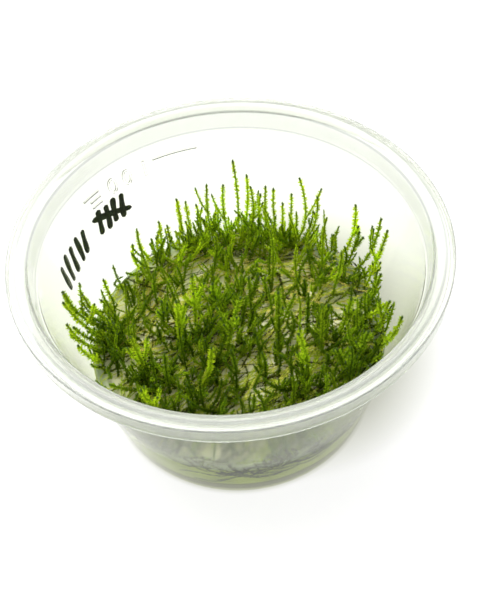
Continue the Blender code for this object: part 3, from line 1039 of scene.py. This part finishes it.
def smooth_line(points, step):
    """The line through a few points, redrawn as a smooth curve with about even steps."""
    place = distances(points)
    fine = np.linspace(0.0, 1.0, max(5, round(place[-1] / step) + 1))
    degree = min(3, len(points) - 1)
    curves = [np.polynomial.Polynomial.fit(place / place[-1], points[:, k], degree) for k in range(3)]
    return np.stack([curve(fine) for curve in curves], axis=1)


def read_along(rows, place, wanted):
    """Rows of three values, given at places along a line, read at other places."""
    return np.stack([np.interp(wanted, place, rows[:, k]) for k in range(3)], axis=1)


def resampled(line, step):
    """A line with even steps, as it runs."""
    place = distances(line)
    fine = np.linspace(0.0, place[-1], max(4, round(place[-1] / step) + 1))
    return read_along(line, place, fine)


def strip_axes(line, reference):
    """Tangent, side and face directions along a line. The side is square to the reference direction."""
    tangent = unit(np.gradient(line, axis=0))
    side = unit(np.cross(tangent, reference))
    return tangent, side, np.cross(side, tangent)


def tube_triangles(count, sides):
    """Triangles through equal rings, closed at both ends by the two points that follow the rings."""
    ring = np.arange(sides)
    after = np.roll(ring, -1)
    base = (np.arange(count - 1) * sides)[:, None]
    lower = np.stack((base + ring, base + after, base + sides + after), axis=-1)
    upper = np.stack((base + ring, base + sides + after, base + sides + ring), axis=-1)
    last = (count - 1) * sides
    first_cap = np.stack((after, ring, np.full(sides, count * sides)), axis=-1)
    last_cap = np.stack((last + ring, last + after, np.full(sides, count * sides + 1)), axis=-1)
    return np.concatenate((lower.reshape(-1, 3), upper.reshape(-1, 3), first_cap, last_cap))


def rod(line, side, face, half_width, half_height, sides):
    """Points, triangles and place along the line (0 to 1) of a closed rod."""
    count = len(line)
    angles = np.arange(sides) * 2 * math.pi / sides
    across = np.cos(angles)[None, :, None] * side[:, None, :] * half_width[:, None, None]
    upward = np.sin(angles)[None, :, None] * face[:, None, :] * half_height[:, None, None]
    points = (line[:, None, :] + across + upward).reshape(-1, 3)
    points = np.concatenate((points, line[:1], line[-1:]))
    place = np.concatenate((np.repeat(np.linspace(0.0, 1.0, count), sides), (0.0, 1.0)))
    return points, tube_triangles(count, sides), place


def leaves(root, tangent, outward, twist, angle, length, width):
    """Points (n * 4, 3) and triangles of leaves: base, left edge, right edge and tip of each.

    A leaf without twist lies flat in the plane of its stem, as a feather's barbs do.
    """
    direction = np.cos(angle)[:, None] * tangent + np.sin(angle)[:, None] * outward
    face = unit(np.cross(tangent, outward))
    level = unit(np.cross(face, direction))
    across = np.cos(twist)[:, None] * level + np.sin(twist)[:, None] * face
    middle = root + direction * (LEAF_WIDEST * length)[:, None]
    edge = across * (0.5 * width)[:, None]
    tip = root + direction * length[:, None] + outward * (LEAF_CURL * length)[:, None]
    points = np.stack((root, middle - edge, middle + edge, tip), axis=1).reshape(-1, 3)
    triangles = (np.arange(len(root)) * 4)[:, None, None] + LEAF_TRIANGLES[None]
    return points, triangles.reshape(-1, 3)


def inside_cup(points, clearance):
    """Points moved in where they are nearer to the cup's inside wall than the clearance, in millimetres."""
    limit = (wall_radius(INSIDE_WALL, points[:, 2] / MM) - clearance) * MM
    radius = np.maximum(np.hypot(points[:, 0], points[:, 1]), 1e-9)
    scale = np.minimum(1.0, limit / radius)
    moved = points.copy()
    moved[:, :2] *= scale[:, None]
    return moved


def add_strand(sheaf, line, draw, look, reach, tone, age, flat=False, bud=0.0, fullness=1.0, ring=1):
    """Adds one leafy strand along a smooth line. The reach is how far its leaves stand out, in metres.

    A strand with a bud has a thick body of close leaves. One without is a thin stem with leaves to both
    sides. Ring is the number of leaves that grow from about the same place on the stem.
    """
    along = distances(line)
    length = along[-1]
    along = along / length
    reference = np.array((0.0, 0.0, 1.0)) if flat else unit(draw.normal(size=3) * (1.0, 1.0, 0.2))
    tangent, side, face = strip_axes(line, reference)
    stem = reach * np.interp(along, *THIN_STEM)
    if bud:
        stem = reach * np.interp((1.0 - along) * length / bud, *THICK_STEM)
    points, triangles, place = rod(line, side, face, stem, stem, STEM_SIDES)
    from_tip = (1.0 - place) * length
    values = np.zeros((len(points), 4))
    values[:, 0] = tone
    values[:, 1] = np.clip(1.5 - from_tip / bud, 0.0, 1.0) if bud else 0.0
    # Lower parts darker: partly real age, partly painted shade deep in the moss
    values[:, 2] = age * (1.0 - place) ** 1.5
    values[:, 3] = 0.5 if bud else 0.15
    sheaf.add(inside_cup(points, STEM_GAP), triangles, values)

    count = max(4, round(length / MM * look.leaves_per_mm * fullness))
    spot = np.clip((np.arange(count) // ring * ring + draw.uniform(0.0, 0.9, count)) / count, 0.0, 0.985)

    def at(rows):
        return read_along(rows, along, spot)

    turn = np.where(np.arange(count) % 2, 0.0, math.pi) + draw.normal(0.0, 0.25 if flat else 0.95, count)
    outward = unit(np.cos(turn)[:, None] * at(side) + np.sin(turn)[:, None] * at(face))
    near_tip = np.clip(1.0 - (1.0 - spot) * length / TIP_LENGTH, 0.0, 1.0) if bud else np.zeros(count)
    usual_angle = RING_ANGLE if ring > 1 else LEAF_ANGLE
    angle = draw.normal(usual_angle, 0.18, count) * (1.0 - 0.75 * near_tip)
    size = np.interp(spot, *LEAF_SIZES) * draw.uniform(0.7, 1.2, count)
    leaf_length = (0.92 if bud else 1.08) * reach * size * (1.0 - 0.5 * near_tip)
    leaf_width = look.leaf_width * leaf_length * draw.uniform(0.8, 1.2, count)
    root = at(line) + outward * (0.6 * np.interp(spot, along, stem))[:, None]
    twist = draw.normal(0.0, 0.35 if flat else 0.7, count)
    points, triangles = leaves(root, at(tangent), outward, twist, angle, leaf_length, leaf_width)
    values = np.zeros((count, 4, 4))
    values[:, :, 0] = np.clip(tone + draw.normal(0.0, 0.09, count), 0.0, 1.0)[:, None]
    if bud:
        values[:, :, 1] = np.clip(1.3 - (1.0 - spot) * length / bud, 0.0, 1.0)[:, None]
    # Lower leaves darker: partly real age, partly painted shade deep in the moss
    values[:, :, 2] = (age * (1.0 - spot) ** 1.5)[:, None]
    values[:, :, 3] = LEAF_VALUES
    sheaf.add(inside_cup(points, LEAF_GAP), triangles, values.reshape(-1, 4))


def zone_of(line):
    """Name of the bed's zone that holds the middle of a line."""
    x = line[len(line) // 2][0] / MM
    return next(name for name, end in BED_ZONES if x < end)


def node_points(node):
    """The different points of a CAD node's mesh."""
    mesh = frame["nodes"][node].data
    flat = np.empty(len(mesh.vertices) * 3)
    mesh.vertices.foreach_get("co", flat)
    return np.unique(np.round(flat.reshape(-1, 3), 7), axis=0)


def shoot_line(node):
    """Middle line and half width of a CAD shoot, read from the rings of its mesh."""
    points = node_points(node)
    low, high = points[points[:, 2].argmin()], points[points[:, 2].argmax()]
    place = points @ unit(high - low)
    order = np.argsort(place)
    gaps = np.diff(place[order])
    cuts = np.sort(np.argsort(gaps)[1 - SHOOT_RINGS:]) + 1
    rings = np.split(points[order], cuts)
    middles = np.array([ring.mean(axis=0) for ring in rings])
    half_width = np.median([np.linalg.norm(r - m, axis=1).mean() for r, m in zip(rings, middles)])
    return middles, half_width


def mat_level(x):
    """Usual height in millimetres of the mat's top at x, in millimetres."""
    return MAT_TOP + MAT_RISE * np.maximum(x, 0.0)


def gel_height(x, y):
    """Height in millimetres of the gel's lumpy top at a place in millimetres."""
    lumps = GEL_LUMP * noise.noise(Vector((x, y, 3.0)) / GEL_LUMP_SPACING)
    return GEL_TOP + GEL_RISE * max(x, 0.0) + lumps


def short_lines():
    """Middle lines of the short shoots that are part of the CAD mat."""
    points = node_points("moss_mat")
    high = points[points[:, 2] / MM > mat_level(points[:, 0] / MM) + MAT_FOUND_ABOVE]
    free = list(range(len(high)))
    lines = []
    while free:
        group, edge = [], [free.pop()]
        while edge:
            here = edge.pop()
            group.append(here)
            gaps = np.linalg.norm((high[free] - high[here]) * (1.0, 1.0, 0.35), axis=1)
            near = [i for i, gap in zip(free, gaps) if gap < JOIN_DISTANCE]
            free = [i for i in free if i not in near]
            edge += near
        rings = high[group][np.argsort(high[group][:, 2])]
        whole = len(rings) // RING_POINTS * RING_POINTS
        rings = rings[:whole].reshape(-1, RING_POINTS, 3).mean(axis=1)
        if len(rings) > 1:
            foot = rings[0] - (rings[1] - rings[0]) * (1.0, 1.0, 0.0)
            foot[2] = (gel_height(foot[0] / MM, foot[1] / MM) + FOOT_LIFT) * MM
            lines.append(np.vstack((foot, rings)))
    return lines


def in_clearing(x, y, margin=0.0):
    return any(math.hypot(x - cx, y - cy) < radius + margin for cx, cy, radius in CLEARINGS)


def place_on_mat(draw, margin=0.0, patchy=0.0):
    """A random place in millimetres on the mat, outside the clearings. Patchy places leave thin areas."""
    while True:
        radius = (MAT_RADIUS - MAT_MARGIN) * math.sqrt(draw.random())
        angle = draw.uniform(0.0, 2 * math.pi)
        x, y = radius * math.cos(angle), radius * math.sin(angle)
        growth = 0.5 + noise.noise(Vector((x, y, 8.0)) / TUFT_SPACING)
        if not in_clearing(x, y, margin) and growth > patchy * draw.random():
            return x, y


def place_in_tuft(draw, feet):
    """A random place in millimetres close to the foot of a tall shoot."""
    while True:
        x, y = feet[draw.integers(len(feet))] + draw.normal(0.0, TUFT_RADIUS, 2)
        if math.hypot(x, y) < MAT_RADIUS - MAT_MARGIN and not in_clearing(x, y):
            return x, y


def rising_line(x, y, low, height, lean, heading, bow):
    """Points in metres of a shoot that starts at a place in millimetres, leans out and turns upright."""
    foot = np.array((x, y, low))
    over = np.array((math.cos(heading), math.sin(heading), 0.0))
    side = np.array((-over[1], over[0], 0.0))
    tip = foot + over * lean + (0.0, 0.0, height)
    middle = foot + over * 0.65 * lean + side * bow + (0.0, 0.0, 0.4 * height)
    t = np.linspace(0.0, 1.0, 6)[:, None]
    return (foot * (1 - t) ** 2 + middle * 2 * t * (1 - t) + tip * t * t) * MM


def lying_line(draw, x, y, length, heading, layer):
    """Points in metres of a strand that lies on the gel, waving to both sides."""
    count = max(5, round(length / 1.5))
    tilt, waves, start = draw.normal(0.0, 0.10), draw.uniform(2.0, 5.0), draw.uniform(0, 6)
    turn = tilt + 0.35 * np.sin(np.linspace(0.0, waves, count) + start)
    headings = heading + np.cumsum(np.full(count, draw.normal(0.0, 0.05))) + turn
    step = length / (count - 1)
    xs = x + np.concatenate(([0.0], np.cumsum(np.cos(headings[:-1]) * step)))
    ys = y + np.concatenate(([0.0], np.cumsum(np.sin(headings[:-1]) * step)))
    xs, ys = xs - (xs[-1] - xs[0]) / 2, ys - (ys[-1] - ys[0]) / 2
    reach = np.hypot(xs, ys)
    keep = np.minimum(1.0, (MAT_RADIUS + 0.3) / np.maximum(reach, 1e-6))
    xs, ys = xs * keep, ys * keep
    lift = layer + 0.35 * np.sin(np.linspace(0.0, 7.0, count) + draw.uniform(0, 6))
    zs = np.array([gel_height(a, b) for a, b in zip(xs, ys)]) + np.maximum(lift, 0.15)
    return inside_cup(resampled(np.stack((xs, ys, zs), axis=1) * MM, STRAND_STEP), BRANCH_GAP)


def strand_heading(draw, x, y):
    """Heading of an old strand. Neighbours run nearly side by side, more level at the back right."""
    usual = -5.0 if x > 4.0 and y > 2.0 else 38.0
    swing = 55.0 * noise.noise(Vector((x, y, 20.0)) / STRAND_SWING_SPACING)
    return math.radians(usual + swing + draw.normal(0.0, 11.0))


def wall_strand(draw, azimuth, height, length, slope):
    """Points in metres of a strand between the gel and the cup's wall, from a place on and at a slope."""
    count = max(6, round(length / 0.6))
    t = np.linspace(0.0, length, count)
    slopes = slope + 0.5 * np.sin(t * 0.5 + draw.uniform(0, 6))
    step = length / (count - 1)
    heights = np.clip(height + np.cumsum(np.sin(slopes)) * step, 3.5, 26.0)
    radius = wall_radius(INSIDE_WALL, heights) - 0.16
    angles = math.radians(azimuth) + np.cumsum(np.cos(slopes)) * step / radius
    return around(angles, radius, heights) * MM


def side_shoot(draw, line):
    """A branch that leaves a shoot part of the way up and turns upright."""
    start = line[int(len(line) * draw.uniform(0.3, 0.55))]
    height = (line[-1][2] - start[2]) / MM * draw.uniform(0.45, 0.8)
    heading = draw.uniform(0.0, 2 * math.pi)
    x, y, z = start / MM
    return rising_line(x, y, z, height, 0.45 * height, heading, 0.3)


def tall_feet():
    """Feet of all tall CAD shoots, in millimetres."""
    names = [name for row, *_ in SHOOT_ROWS for name in tall_nodes(row)]
    return np.array([shoot_line(name)[0][0][:2] / MM for name in names])


def tall_nodes(row):
    """CAD shoots of one row. The rows left and back_left share their first letters, so the number follows."""
    stem = f"shoot_{row}_"
    return sorted(name for name in frame["nodes"] if name.startswith(stem) and name[len(stem):].isdigit())


def dress(obj):
    """Lets a finished piece ride on the part."""
    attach(obj, "root")


class MOSSCUP_OT_cup(bpy.types.Operator):
    """Turn the cup from its section, with the moulded number and lines joined to its wall"""

    bl_idname = "moss_cup.add_cup"
    bl_label = "Add Cup"

    def execute(self, context):
        look = context.scene.moss_cup.cup
        cup = turned("cup_body", rounded_section(CUP_CORNERS, CORNER_STEPS), look.turn_steps)
        marks = moulded_marks()
        join = cup.modifiers.new("Moulded marks", "BOOLEAN")
        join.operation = "UNION"
        join.operand_type = "COLLECTION"
        join.collection = marks
        join.solver = "EXACT"
        cup = settle_modifiers(cup)
        remove_collection(marks)
        cup.data.shade_smooth()
        cup.data.set_sharp_from_angle(angle=math.radians(40.0))
        cup.data.materials.clear()
        for material in (wall_material(look), rim_material(look), flank_material(look)):
            cup.data.materials.append(material)
        cup.data.polygons.foreach_set("material_index", plastic_kinds(cup.data))
        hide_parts("cup")
        dress(cup)
        return {"FINISHED"}


class MOSSCUP_OT_ink(bpy.types.Operator):
    """Draw the tally strokes of a felt pen on the outside of the wall"""

    bl_idname = "moss_cup.add_pen_strokes"
    bl_label = "Add Pen Strokes"

    def execute(self, context):
        look = context.scene.moss_cup.cup
        draw = np.random.default_rng(4)
        sheaf = Sheaf()
        t = np.linspace(0.0, 1.0, PEN_STEPS)
        for first, top, last, bottom in PEN_STROKES:
            azimuths = first + (last - first) * t + PEN_WANDER * np.sin(3.0 * t + draw.uniform(0, 6))
            heights = top + (bottom - top) * t
            line = np.array([on_wall(a, h, PEN_LIFT) for a, h in zip(azimuths, heights)])
            face = np.array([wall_axes(a)[2] for a in azimuths])
            side = unit(np.cross(face, unit(np.gradient(line, axis=0))))
            ends = (1.0 - np.abs(2.0 * t - 1.0) ** 9) ** 0.5 + 0.03
            width = look.ink_width / 2 * ends * (1.0 + 0.12 * np.sin(7.0 * t + draw.uniform(0, 6)))
            points, triangles, _ = rod(line, side, face, width, np.full(PEN_STEPS, PEN_THICKNESS), 8)
            sheaf.add(points, triangles, np.zeros((len(points), 4)))
        ink = sheaf.build("pen_strokes", ink_material(look.ink))
        dress(ink)
        return {"FINISHED"}


def gel_top_ring(reach):
    """A ring of the gel's lumpy top, at a share of the way from its middle to the wall, in millimetres."""
    radius = reach * (wall_radius(INSIDE_WALL, GEL_TOP + 0.4) - GEL_WALL_GAP)
    climb = GEL_CLIMB * max(0.0, (reach - GEL_CLIMB_START) / (1.0 - GEL_CLIMB_START)) ** 2
    row = []
    for angle in GEL_SPOKES:
        x, y = radius * math.cos(angle), radius * math.sin(angle)
        height = gel_height(x, y) + climb
        limit = (wall_radius(INSIDE_WALL, height) - GEL_WALL_GAP) / radius
        scale = limit if reach == 1.0 else min(1.0, limit)
        row.append((x * scale, y * scale, height))
    return np.array(row)


class MOSSCUP_OT_gel(bpy.types.Operator):
    """Cast the plug of cloudy gel, with a lumpy top"""

    bl_idname = "moss_cup.add_gel"
    bl_label = "Add Gel"

    def execute(self, context):
        look = context.scene.moss_cup.gel
        rows = [gel_top_ring(reach) for reach in np.linspace(0.0, 1.0, GEL_RINGS)[1:]]
        tops = rows[-1][:, 2]
        low = GEL_BOTTOM + GEL_ROUNDING
        for share in np.linspace(0.0, 1.0, GEL_SIDE_RINGS)[1:]:
            heights = tops + (low - tops) * share
            radii = wall_radius(INSIDE_WALL, heights) - GEL_WALL_GAP - GEL_DRAFT * share**4
            rows.append(around(GEL_SPOKES, radii, heights))
        edge = wall_radius(INSIDE_WALL, low) - GEL_WALL_GAP - GEL_DRAFT
        for turn in (0.35, 0.7, 1.0):
            radius = edge - 1.4 * (1 - math.cos(turn * math.pi / 2))
            height = low - GEL_ROUNDING * math.sin(turn * math.pi / 2)
            rows.append(around(GEL_SPOKES, radius, height))
        for radius in (20.0, 10.0):
            rows.append(around(GEL_SPOKES, radius, GEL_BOTTOM))
        ends = [(0.0, 0.0, gel_height(0.0, 0.0)), (0.0, 0.0, GEL_BOTTOM)]
        points = np.concatenate(rows + [ends]) * MM
        triangles = tube_triangles(len(rows), len(GEL_SPOKES))[:, ::-1]
        gel = add_object("gel_body", mesh_of("gel_body", points, triangles, gel_material(look)))
        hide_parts("gel")
        dress(gel)
        return {"FINISHED"}


class MOSSCUP_OT_shoots(bpy.types.Operator):
    """Grow a leafy shoot along each tall CAD shoot, some with side shoots"""

    bl_idname = "moss_cup.add_tall_shoots"
    bl_label = "Add Tall Shoots"

    def execute(self, context):
        look = context.scene.moss_cup.moss
        material = new_moss_material(look)
        form = {"bud": 1.15 * look.bud, "fullness": 0.9, "ring": 5}
        for number, (row, darkest, lightest, age, size, sides) in enumerate(SHOOT_ROWS):
            draw = np.random.default_rng(100 + number)
            sheaf = Sheaf()
            names = tall_nodes(row)
            for name in names:
                middles, half_width = shoot_line(name)
                line = inside_cup(smooth_line(middles, SHOOT_STEP), SHOOT_GAP)
                # Row tones: higher at the back as painted light, lower in the middle as painted shade
                tone = draw.uniform(darkest, lightest)
                reach = 1.1 * max(look.reach, 1.2 * half_width) * size
                add_strand(sheaf, line, draw, look, reach, tone, age, **form)
                for _ in range(draw.binomial(sides, SIDE_SHOOT_SHARE)):
                    branch = inside_cup(smooth_line(side_shoot(draw, line), SHOOT_STEP), BRANCH_GAP)
                    add_strand(sheaf, branch, draw, look, BRANCH_REACH * reach, tone, 0.2, **form)
            moss = sheaf.build(f"moss_{row}", material)
            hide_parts(*names)
            dress(moss)
        return {"FINISHED"}


def young_line(draw, x, y):
    """Points of a small shoot that grows at a place in millimetres."""
    height = draw.triangular(*YOUNG_HEIGHTS)
    lean = draw.uniform(0.05, 1.0) * height
    heading = draw.uniform(0.0, 2 * math.pi)
    return rising_line(x, y, gel_height(x, y) + FOOT_LIFT, height, lean, heading, draw.normal(0.0, 1.4))


class MOSSCUP_OT_young(bpy.types.Operator):
    """Grow the short shoots of the mat and the small shoots between them"""

    bl_idname = "moss_cup.add_young_shoots"
    bl_label = "Add Young Shoots"

    def execute(self, context):
        look = context.scene.moss_cup.moss
        draw = np.random.default_rng(7)
        sheaves = {name: Sheaf() for name, _ in BED_ZONES}
        lines = short_lines()
        feet = tall_feet()
        for number in range(look.young_shoots):
            place = place_in_tuft(draw, feet) if number % 2 else place_on_mat(draw, 0.0, 0.6)
            lines.append(young_line(draw, *place))
        bud = 0.6 * look.bud
        for points in lines:
            line = inside_cup(smooth_line(points, YOUNG_STEP), SHOOT_GAP)
            sheaf = sheaves[zone_of(line)]
            reach = look.reach * draw.uniform(0.75, 1.2)
            # Shoots further back get higher tones: painted light, as if lit from behind
            farness = line[0][1] / (MAT_RADIUS * MM)
            tone = np.clip(draw.uniform(0.0, 0.7) + 0.3 * farness, 0.0, 1.0)
            add_strand(sheaf, line, draw, look, reach, tone, 0.6, bud=bud)
            if draw.random() < 0.35:
                branch = inside_cup(smooth_line(side_shoot(draw, line), YOUNG_STEP), BRANCH_GAP)
                add_strand(sheaf, branch, draw, look, BRANCH_REACH * reach, tone, 0.3, bud=bud)
        for name, sheaf in sheaves.items():
            young = sheaf.build(f"moss_young_{name}", new_moss_material(look))
            dress(young)
        return {"FINISHED"}


class MOSSCUP_OT_mat(bpy.types.Operator):
    """Lay the old strands and the litter on the gel, and hang some strands between it and the near wall"""

    bl_idname = "moss_cup.add_mat"
    bl_label = "Add Old Moss"

    def execute(self, context):
        look = context.scene.moss_cup.moss
        draw = np.random.default_rng(21)
        sheaves = {name: Sheaf() for name, _ in BED_ZONES}

        def add(line, reach, tone, **form):
            add_strand(sheaves[zone_of(line)], line, draw, look, look.reach * reach, tone, 0.0, **form)

        for _ in range(look.old_strands):
            x, y = place_on_mat(draw, -1.0)
            heading = strand_heading(draw, x, y)
            layer = draw.uniform(0.3, 1.2) + 0.07 * draw.random() * max(x, 0.0)
            line = lying_line(draw, x, y, draw.uniform(8.0, 26.0), heading, layer)
            # Near strands get lower tones: painted shade
            tone = draw.choice(OLD_TONES, p=OLD_TONE_SHARES) * np.interp(y, *OLD_NEAR_SHADE)
            add(line, draw.uniform(0.36, 0.66), tone, flat=True, fullness=0.5)
        for _ in range(look.litter):
            x, y = place_on_mat(draw)
            layer = draw.uniform(0.2, 1.6) + 0.06 * max(x, 0.0)
            heading = strand_heading(draw, x, y) + draw.normal(0.0, 0.6)
            line = lying_line(draw, x, y, draw.uniform(5.0, 12.0), heading, layer)
            add(line, draw.uniform(0.6, 0.9), draw.uniform(0.05, 0.45), flat=True, fullness=0.6)
        for number in range(look.sunken):
            azimuth, height = SUNKEN_TUFTS[number % len(SUNKEN_TUFTS)]
            azimuth, height = azimuth + draw.normal(0.0, 2.5), height + draw.normal(0.0, 0.3)
            rising = number % 5 > 1
            slope = draw.uniform(0.4, 2.7) if rising else math.pi * (number % 2) + draw.normal(0.0, 0.2)
            length = draw.uniform(3.0, 7.0) if rising else draw.uniform(6.0, 12.0)
            line = wall_strand(draw, azimuth, height, length, slope)
            add(line, draw.uniform(0.7, 1.0), draw.uniform(0.1, 0.3), fullness=0.8)
        for name, sheaf in sheaves.items():
            mat = sheaf.build(f"moss_mat_{name}", old_moss_material(look))
            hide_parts("moss_mat")
            dress(mat)
        return {"FINISHED"}


class MOSSCUP_OT_stage(bpy.types.Operator):
    """Set up the camera, the pale floor and the soft light"""

    bl_idname = "moss_cup.add_stage"
    bl_label = "Add Stage"

    def execute(self, context):
        look = context.scene.moss_cup.stage
        add_camera(context.scene)
        add_floor(look)
        add_sky(context.scene, look)
        add_key_light(look)
        context.scene.view_settings.view_transform = "Standard"
        return {"FINISHED"}


def add_camera(scene):
    camera = bpy.data.cameras.new("camera")
    camera.lens = CAMERA_LENS
    camera.sensor_width = CAMERA_SENSOR
    camera.clip_start = 0.005
    camera.clip_end = 20.0
    obj = add_object("camera", camera)
    pitch, roll = math.radians(CAMERA_PITCH), math.radians(CAMERA_ROLL)
    level = Matrix.Rotation(math.pi / 2 - pitch, 3, "X")
    obj.matrix_world = (level @ Matrix.Rotation(roll, 3, "Z")).to_4x4()
    obj.location = CAMERA_PLACE
    scene.camera = obj


def add_floor(look):
    """A pale floor that glows, with a painted contact shadow under the cup, painted shade beside it, and
    painted light behind the cup and to its left. Its glow dims far from the cup.
    """
    mesh = bpy.data.meshes.new("floor")
    half = FLOOR_HALF
    corners = [(-half, -half, 0.0), (half, -half, 0.0), (half, half, 0.0), (-half, half, 0.0)]
    mesh.from_pydata(corners, [], [(0, 1, 2, 3)])
    material, nodes, end = new_material("floor_panel")
    material.cycles.emission_sampling = "NONE"
    fibre = nodes.grain(0.4 * MM, 4.0)
    tint = nodes.blend(nodes.spread(fibre), look.floor, darker(look.floor, 0.97))
    place = nodes.place()
    axes = nodes.axes(place)
    away = nodes.combine("SUBTRACT", axes["Y"], nodes.times(axes["X"], 0.4))
    reach = nodes.measure("LENGTH", i0=place)
    beside = nodes.measure("DISTANCE", i0=place, i1=SHADE_CENTRE)
    # Painted contact shadow under the cup, and painted shade beside it
    near = nodes.span(reach, *UNDER_CUP_SHADOW, look.under_cup_shadow_glow, 1.0)
    near = nodes.times(near, nodes.span(beside, *BESIDE_CUP_SHADE, look.beside_cup_shade_glow, 1.0))
    far = nodes.span(reach, *FAR_AWAY, 1.0, look.rim_glow)
    # Painted light: more glow behind the cup and to its left
    glow = nodes.times(nodes.span(away, *BEHIND_CUP_LIGHT, look.glow, look.far_glow), near)
    body = nodes.add(
        "ShaderNodeBsdfPrincipled",
        Base_Color=tint,
        Roughness=nodes.spread(fibre, 0.7, 0.8),
        # Painted shade tints the glow beside the cup
        Emission_Color=nodes.blend(near, look.shade, (1.0, 1.0, 1.0)),
        Emission_Strength=nodes.times(glow, far),
        Normal=bump(nodes, fibre, 0.01 * MM),
    )
    nodes.feed(end, "Surface", body.outputs[0])
    mesh.materials.append(material)
    floor = add_object("floor", mesh)
    floor.location.z = FLOOR_LEVEL


def add_sky(scene, look):
    """Light from above with a soft bright spot, and dim walls near the horizon that draw the cup's edges."""
    world = bpy.data.worlds.new("studio")
    world.use_nodes = True
    world.node_tree.nodes.clear()
    nodes = Nodes(world.node_tree)
    place = nodes.add("ShaderNodeTexCoord").outputs["Generated"]
    height = nodes.axes(place)["Z"]
    colour = nodes.blend(nodes.span(height, 0.35, 0.65), HORIZON_COLOUR, (1.0, 1.0, 1.0))
    facing = nodes.measure("DOT_PRODUCT", i0=place, i1=KEY_DIRECTION)
    strength = nodes.span(facing, *SPOT_EDGE, look.sky, look.sky * look.spot)
    light = nodes.add("ShaderNodeBackground", Color=colour, Strength=strength)
    nodes.add("ShaderNodeOutputWorld", Surface=light.outputs[0])
    scene.world = world


def add_key_light(look):
    light = bpy.data.lights.new("key_light", "AREA")
    light.shape = "RECTANGLE"
    light.size, light.size_y = KEY_SIZE
    light.energy = look.key
    obj = add_object("key_light", light)
    obj.location = KEY_DISTANCE * Vector(KEY_DIRECTION)
    obj.visible_glossy = False
    obj.visible_transmission = False
    aim = Vector((0.0, 0.0, 0.02)) - obj.location
    obj.rotation_euler = aim.to_track_quat("-Z", "Y").to_euler()


class MOSSCUP_PT_panel(bpy.types.Panel):
    """Buttons and settings of the moss cup"""

    bl_idname = "MOSSCUP_PT_panel"
    bl_label = "Moss Cup"
    bl_space_type = "VIEW_3D"
    bl_region_type = "UI"
    bl_category = "Moss Cup"

    def draw(self, context):
        for operator in OPERATORS:
            self.layout.operator(operator.bl_idname)
        settings = context.scene.moss_cup
        for group in (settings.cup, settings.gel, settings.moss, settings.stage):
            box = self.layout.box()
            for key in group.__annotations__:
                box.prop(group, key)


OPERATORS = (
    MOSSCUP_OT_stage,
    MOSSCUP_OT_cup,
    MOSSCUP_OT_ink,
    MOSSCUP_OT_gel,
    MOSSCUP_OT_shoots,
    MOSSCUP_OT_young,
    MOSSCUP_OT_mat,
)
GROUPS = (CupSettings, GelSettings, MossSettings, StageSettings, MossCupSettings)


def register():
    for cls in (*GROUPS, *OPERATORS, MOSSCUP_PT_panel):
        bpy.utils.register_class(cls)
    bpy.types.Scene.moss_cup = PointerProperty(type=MossCupSettings)


def unregister():
    del bpy.types.Scene.moss_cup
    for cls in reversed((*GROUPS, *OPERATORS, MOSSCUP_PT_panel)):
        bpy.utils.unregister_class(cls)


def write_sizes():
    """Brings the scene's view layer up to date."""
    bpy.context.view_layer.update()


def main():
    register()
    bpy.ops.moss_cup.add_stage()
    bpy.ops.moss_cup.add_cup()
    bpy.ops.moss_cup.add_pen_strokes()
    bpy.ops.moss_cup.add_gel()
    bpy.ops.moss_cup.add_tall_shoots()
    bpy.ops.moss_cup.add_young_shoots()
    bpy.ops.moss_cup.add_mat()
    write_sizes()


if __name__ == "__main__":
    main()
